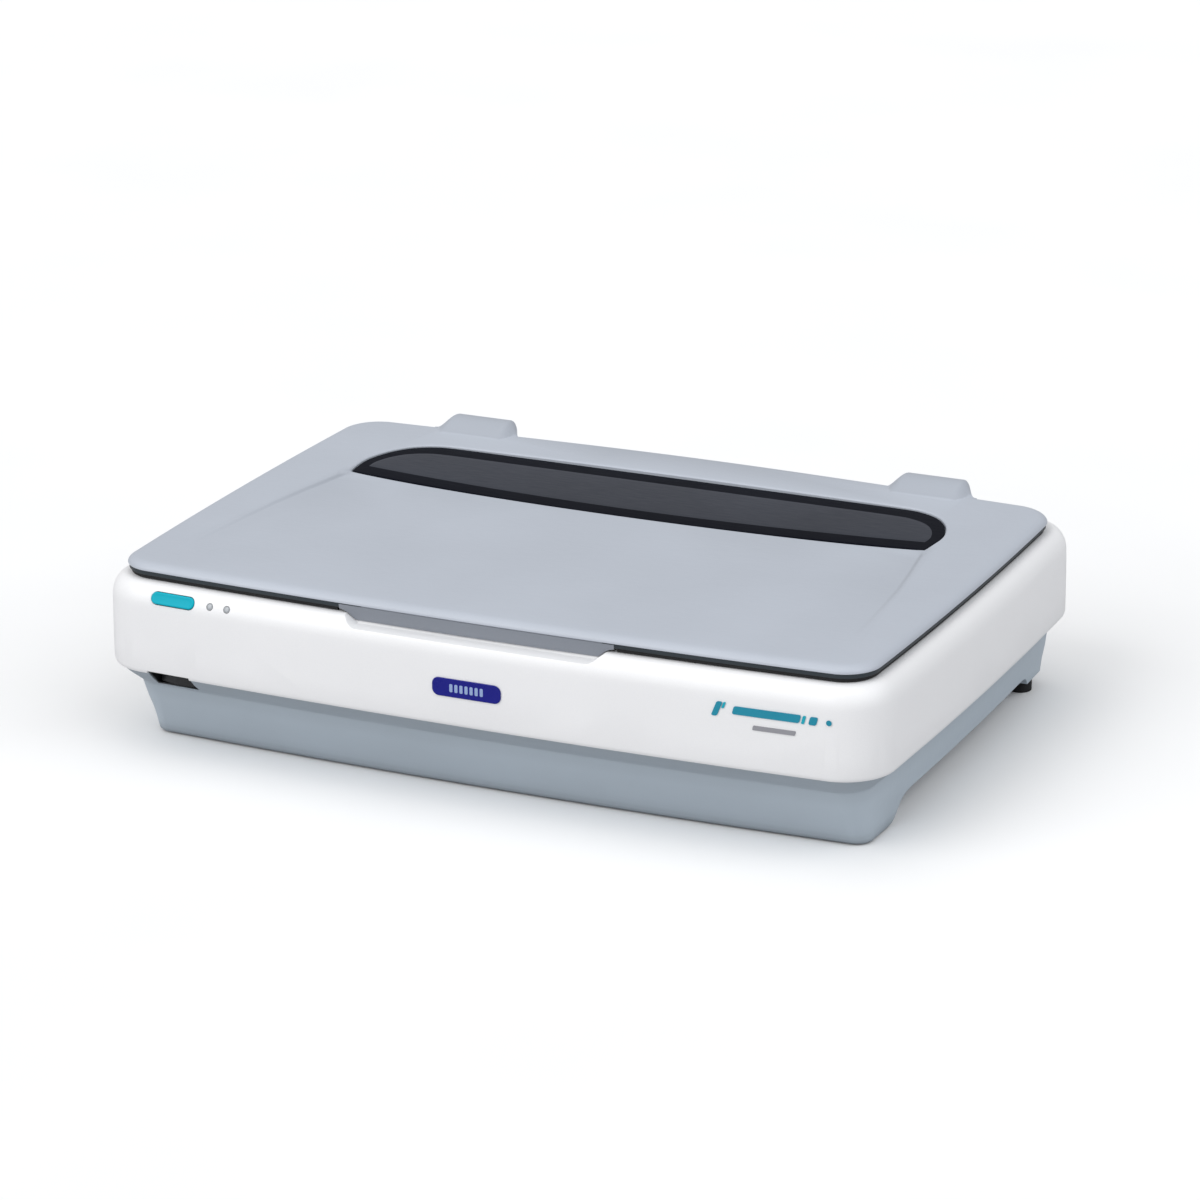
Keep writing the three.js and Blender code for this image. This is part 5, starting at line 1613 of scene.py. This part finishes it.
def lid_body():
    """Solid lid with its shaped top and the flat-bottomed recess for the window."""
    rows = list(LID_SKIRT)
    for degrees in range(10, 91, 8):
        a = math.radians(degrees)
        rows.append(
            (LID_EDGE_Z + LID_EDGE_HEIGHT * math.sin(a), LID_EDGE_RUN * (1 - math.cos(a)))
        )
    verts = []
    for z, inset in rows:
        border = lid_outline(inset, steps=(18, 60, 44))
        lift = smoothstep((z - LID_EDGE_Z) / LID_EDGE_HEIGHT)
        verts += [(x, y, z + lift * (top_z(x, y) - LID_TOP_Z)) for x, y in border]
    count = len(border)
    faces = side_faces(len(rows), count) + [tuple(range(count))[::-1]]
    top_start = (len(rows) - 1) * count

    plan = lid_plan(border)
    points, triangles, sources = plan.triangulate(0)
    hole = WINDOW_OUTLINE
    index, hole_index = [], {}
    for point, origins in zip(points, sources):
        origin = origins[0] if origins else -1
        if 0 <= origin < count:
            index.append(top_start + origin)
        else:
            index.append(len(verts))
            z = top_z(point.x, point.y) + plan.heights.get(origin, 0.0)
            verts.append((point.x, point.y, z))
        for o in origins:
            if count <= o < count + len(hole):
                hole_index[o - count] = index[-1]
    hole_polygon, border_polygon = np.array(hole), np.array(border)
    for face in triangles:
        x = sum(points[i].x for i in face) / len(face)
        y = sum(points[i].y for i in face) / len(face)
        if inside(border_polygon, x, y) and not inside(hole_polygon, x, y):
            faces.append(tuple(index[i] for i in face))

    low = len(verts)
    verts += [(x, y, 147.0) for x, y in hole]
    for i in range(len(hole)):
        j = (i + 1) % len(hole)
        faces.append((hole_index[i], hole_index[j], low + j, low + i))
    faces.append(tuple(low + i for i in range(len(hole))))
    return solid(verts, faces)


# ------------------------------------------------------------------ lid shell
LID_CAVITY = [
    (140.5, 5.2), (142.0, 5.2), (142.04, 3.0), (144.9, 3.0), (146.5, 3.0), (147.8, 4.2),
    (148.6, 5.8),
]
LIP_OUTER = [
    (132.6, 3.7), (132.8, 3.1), (133.4, 2.7), (135.4, 2.25), (138, 1.75), (141, 1.2),
    (144.4, 0.6),
]
LIP_INNER = [(130, 6.0), (133, 5.0), (138, 3.7), (141, 3.4), (145, 2.8)]
# (y, z) of the hinge cover's side profile
HUMP_SIDE = [(172, 149.0), (178, 149.4)] + spline([
    (184, 150.4), (191, 152.2), (199, 155.3), (206, 157.9), (211, 159.2), (216, 159.6),
    (220.6, 159.1), (224.4, 157.4), (227, 154.6), (228.6, 151), (228.8, 146.4),
    (227.4, 142.8), (224.6, 140.8),
], 4) + [(220, 140.1), (184, 142.4)]


def lid_lip():
    """Lip that hangs from the lid's front edge into the scoop, clear of its walls."""
    lip = cut(stack(lid_outline, LIP_OUTER), stack(lid_outline, LIP_INNER))
    common(lip, prism(scoop_profile(SCOOP_RADIUS - SCOOP_CLEARANCE), -125, 125, "x"))
    common(lip, box(-114, 114, -230, -190, 130, 145))
    ends = [(x, z + 0.9) for x, z in SCOOP_ENDS] + [(118, 150), (-118, 150)]
    common(lip, prism(ends, -245, -205, "y"))
    return soften(tidy(lip), 0.6, 45, 3)


def hinge_hump(centre):
    """Hinge cover that swells out of the lid and fades to its surface at both ends."""
    stations = 65
    verts = []
    for k in range(stations):
        x = centre - 40 + 80 * k / 64
        t = 1.0 - smoothstep((abs(x - centre) - 23.5) / 15.0)
        for y, z in HUMP_SIDE:
            low_y, low_z = min(y, 207.5), min(z, 149.4)
            verts.append((x, low_y + t * (y - low_y), low_z + t * (z - low_z)))
        verts.append((x, 172, 144.0))
    count = len(HUMP_SIDE) + 1
    last = (stations - 1) * count
    caps = [tuple(range(count)), tuple(last + j for j in range(count))[::-1]]
    return solid(verts, side_faces(stations, count) + caps)


def hinge_clearances(x):
    """Room in the lid for the hinge's knuckle, bracket, housing recess and post."""
    return [
        bore("x", HINGE_Y, HINGE_Z, x - 22.5, x + 22.5, 9),
        box(x - 22.5, x + 22.5, 196.5, 216, 135, 151.2),
        box(x - 22.5, x + 22.5, 166, 200, 135, 146.9),
        box(x - 44, x + 44, 182, 209.2, 135, 144.5),
        box(x - 22.5, x + 22.5, 206, 224, 135, HINGE_Z),
        box(x - 13.2, x + 13.2, HINGE_Y, 235, 135, 152.4),
    ]


def lid_painted_shade(x, y, z):
    """How much painted shade the lid gets: along the creases, on the hinge covers, and low on its
    edge.
    """
    light = 1.0
    if z > 146 and y < 86:
        inward = crease_x(y) - abs(x)
        run = min(1.0, max(0.0, (y + 150) / 215.0)) * (1.0 - smoothstep((y - 58) / 26.0))
        light -= 0.42 * run * math.exp(-(((inward - 1.3) / 2.3) ** 2))
    if y > 190 and z > 151.6:
        light -= 0.26
    elif z > 144 and (y > 205 or x < -318.5):
        light -= 0.34 * smoothstep((150.8 - z) / 2.4)
    return 1.0 - light


def build_lid():
    lid = lid_body()
    cavity = stack(lid_outline, LID_CAVITY)
    # The recess under the window keeps its floor.
    cut(lid, cut(cavity, prism(offset(WINDOW_OUTLINE, 3.0), 144.9, 149.6)))
    add(lid, lid_lip())
    for x in (-HINGE_X, HINGE_X):
        add(lid, hinge_hump(x))
        cut(lid, *hinge_clearances(x))
    tidy(lid, angle=0.12)
    materials = ["lid_plastic", "skirt_painted_shade_plastic", "lip_painted_shade_plastic"]
    stand_in("lid_shell", lid, materials, "lid", angle=26)
    for face in lid.data.polygons:
        x, y, z = face.center / MM
        # The lip takes the darker copy of the lid's plastic: painted shade.
        if z < 145.06 and abs(x) < 104 and y < -190:
            face.material_index = 2
        # The skirt below the rounded edge takes the near-black copy: painted shade.
        elif z < 145.06 and face.normal.z > -0.97:
            face.material_index = 1
    # Painted shade along the creases, on the hinge covers and low on the edge, kept on the points.
    painted_shade = lid.data.attributes.new("painted_shade", "FLOAT", "POINT")
    for vertex in lid.data.vertices:
        painted_shade.data[vertex.index].value = lid_painted_shade(*(vertex.co / MM))


# ------------------------------------------------------------------ lid window
# (inset, z): a raised bead at the edge, a border, and the start of the centre
WINDOW_ROWS = [
    (0.9, 148.9), (1.15, 149.2), (1.5, 149.36), (2.2, 149.42), (9.5, 149.28), (10.0, 149.3),
    (10.6, 149.44), (11.6, 149.5),
]


def inset_outline(points, distance):
    """Convex outline moved inward; beyond 3 mm it moves further along y than along x."""
    polygon = list(points)
    for (ax, ay), (bx, by) in zip(points, points[1:] + points[:1]):
        length = math.hypot(bx - ax, by - ay)
        if length < 1e-6:
            continue
        nx, ny = -(by - ay) / length, (bx - ax) / length
        move = distance
        if distance >= 3:
            move = math.hypot(distance * nx, (distance + 1.5 * (distance - 3)) * ny)
        clipped = []
        for k, (px, py) in enumerate(polygon):
            qx, qy = polygon[(k + 1) % len(polygon)]
            depth_p = (px - ax) * nx + (py - ay) * ny - move
            depth_q = (qx - ax) * nx + (qy - ay) * ny - move
            if depth_p >= 0:
                clipped.append((px, py))
            if (depth_p >= 0) != (depth_q >= 0):
                t = depth_p / (depth_p - depth_q)
                clipped.append((px + (qx - px) * t, py + (qy - py) * t))
        polygon = clipped
    clean = [polygon[0]]
    for x, y in polygon[1:]:
        if math.hypot(x - clean[-1][0], y - clean[-1][1]) > 0.05:
            clean.append((x, y))
    return clean


def window_body():
    plan = Plan()
    for distance, z in WINDOW_ROWS:
        plan.line(inset_outline(WINDOW_OUTLINE, distance), z)
    count = len(inset_outline(WINDOW_OUTLINE, WINDOW_ROWS[0][0]))
    for x in range(-225, 226, 15):
        plan.line([(x, 105.0)], 149.6 + 0.3 * crown(x, 105.0), closed=False)
    points, triangles, sources = plan.triangulate(1)
    verts, edge_index = [], {}
    for k, (point, origins) in enumerate(zip(points, sources)):
        verts.append((point.x, point.y, plan.heights[origins[0] if origins else 0]))
        edge_index.update({o: k for o in origins if o < count})
    faces = [tuple(face) for face in triangles]
    low = len(verts)
    for i in range(count):
        x, y, _ = verts[edge_index[i]]
        verts.append((x, y, 147.3))
    for i in range(count):
        j = (i + 1) % count
        faces.append((edge_index[j], edge_index[i], low + i, low + j))
    faces.append(tuple(low + i for i in range(count))[::-1])
    return solid(verts, faces)


def build_window():
    materials = ["window_plastic", "window_rim_painted_shade_plastic"]
    window = stand_in("lid_window", window_body(), materials, "lid", angle=24)
    # Faces outside the centre take the near-black copy: painted shade at the window's border.
    start = np.array(inset_outline(WINDOW_OUTLINE, 9.6))
    run = np.roll(start, -1, axis=0) - start
    for face in window.data.polygons:
        x, y, _ = face.center / MM
        side = run[:, 0] * (y - start[:, 1]) - run[:, 1] * (x - start[:, 0])
        if float(side.min()) < 0:
            face.material_index = 1


# ------------------------------------------------------------------ underside of the lid
def build_lid_underside():
    spots = [(x, y) for x in (-285, 0, 285) for y in (-190, 178)]
    rows = [(142.1, 3.6), (142.25, 3.2), (142.6, 3), (144.0, 3), (144.2, 3.3)]
    panel = stack(lid_outline, rows)
    for x in (-HINGE_X, HINGE_X):
        cut(panel, prism(round_rect(x, 211, 48, 38, 2), 140, 150))
    groove = prism(round_rect(0, 0, 452, 325, 6, 8), 141, 142.7)
    cut(panel, cut(groove, prism(round_rect(0, 0, 449.6, 322.6, 5, 8), 140, 144)))
    cut(panel, *[bore("z", x, y, 141, 142.9, 4.2, 32) for x, y in spots])
    stand_in("lid_inner_panel", tidy(panel), "white_plastic", "lid", angle=30)
    screws("panel_screws", "lid", [(x, y, 142.9, 3.0) for x, y in spots], tilt=180)

    # Black rubber strip inside the gap under the lid's edge: a dark piece that paints the gap's
    # shadow.
    rows = [(138.4, 3.5), (138.6, 3.0), (139.1, 2.7), (141.3, 2.7), (141.45, 2.9)]
    gap_strip = stack(lid_outline, rows)
    cut(gap_strip, stack(lid_outline, [(138, 6.9), (139.2, 7.2), (143, 7.2)]))
    for x in (-HINGE_X, HINGE_X):
        cut(gap_strip, box(x - 47, x + 47, 190, 230, 130, 150))
    cut(gap_strip, box(-116, 116, -235, -190, 130, 150))
    extra("lid_gap_shadow_strip", tidy(gap_strip), "foot_rubber", "lid")

    rows = [
        (136.0, 1.6), (136.12, 0.9), (136.5, 0.3), (137.1, 0), (138.8, 0.15), (140.6, 0),
        (141.4, 0.2), (141.8, 0.7),
    ]
    mat = stack(
        lambda i: round_rect(0, 0, 435 - 2 * i, 308 - 2 * i, max(0.6, 3.5 - i), 10), rows
    )
    stand_in("document_mat", mat, "mat_sheet", "lid")


# ------------------------------------------------------------------ floor, light and camera
def build_floor():
    """White to the camera, and darker in the light that it throws back."""
    bpy.ops.mesh.primitive_plane_add(size=14)
    floor = bpy.context.object
    floor.name = "floor"
    paint = Paint("floor_paper")
    mottle = paint.remap(paint.noise(paint.coords(), scale=3.0, detail=2.0), low=0, high=1)
    paper = paint.mix(mottle, (0.93, 0.93, 0.93, 1), (0.96, 0.96, 0.96, 1))
    seen = paint.node("LightPath").outputs["Is Camera Ray"]
    paint.surface({
        "Base Color": paint.mix(seen, (0.53, 0.53, 0.54, 1), paper),
        "Roughness": 0.9,
        "Specular IOR Level": 0.1,
    })
    floor.data.materials.append(paint.material)
    floor.location = (0, 0, -0.0002)


def direction(azimuth, elevation):
    """Unit vector from radians: azimuth 0 is in front, a quarter turn is on the right."""
    level = math.cos(elevation)
    return Vector(
        (math.sin(azimuth) * level, -math.cos(azimuth) * level, math.sin(elevation))
    )


def soft_sun(name, azimuth, elevation, strength, spread, color=(1, 1, 1)):
    """Very wide, even light from a direction; angles are in degrees."""
    light = bpy.data.lights.new(name, "SUN")
    light.energy, light.color, light.angle = strength, color, math.radians(spread)
    sun = bpy.data.objects.new(name, light)
    bpy.context.scene.collection.objects.link(sun)
    away = direction(math.radians(azimuth), math.radians(elevation))
    sun.rotation_mode = "QUATERNION"
    sun.rotation_quaternion = away.to_track_quat("Z", "Y")


def build_light():
    scene = bpy.context.scene
    world = bpy.data.worlds.new("studio")
    scene.world = world
    world.use_nodes = True
    background = world.node_tree.nodes["Background"]
    background.inputs["Color"].default_value = (0.97, 0.98, 1.0, 1)
    background.inputs["Strength"].default_value = 0.45
    soft_sun("key", azimuth=-30, elevation=33, strength=1.3, spread=50)
    soft_sun("top", azimuth=-50, elevation=75, strength=0.65, spread=60)
    soft_sun("fill", azimuth=80, elevation=42, strength=1.02, spread=60, color=(0.96, 0.98, 1.0))
    scene.view_settings.view_transform = "Standard"
    scene.view_settings.look = "None"
    scene.view_settings.exposure = 0.0
    scene.view_settings.gamma = 1.0


def build_camera():
    # Where the camera looks from: angles in degrees, distance and target in metres
    azimuth, elevation, roll = (math.radians(a) for a in (24.67, 19.23, -0.27))
    distance, target = 3.81249, Vector((-0.0262, 0.06732, 0.070))
    back = direction(azimuth, elevation)
    right = (-back).cross(Vector((0, 0, 1))).normalized()
    up = right.cross(-back).normalized()
    cos_roll, sin_roll = math.cos(roll), math.sin(roll)
    data = bpy.data.cameras.new("camera")
    data.lens, data.sensor_width = 142.37, 36.0
    data.clip_start, data.clip_end = 0.1, 50
    camera = bpy.data.objects.new("camera", data)
    bpy.context.scene.collection.objects.link(camera)
    across, upward = right * cos_roll + up * sin_roll, up * cos_roll - right * sin_roll
    matrix = Matrix((across, upward, back)).transposed().to_4x4()
    matrix.translation = target + back * distance
    camera.matrix_world = matrix
    bpy.context.scene.camera = camera


for build in (
    build_tray, build_feet, build_housing, build_controls,
    build_main_board, build_power_supply, build_interface_board, build_sensor_board,
    build_control_board, build_marks, build_scales,
    build_guide_rod, build_motor, build_pulleys, build_idler_bracket, build_belt, build_spring,
    build_rear_ports, build_carriage, build_lock, build_hinges,
    build_lid, build_window, build_lid_underside,
    build_floor, build_light, build_camera,
):
    build()
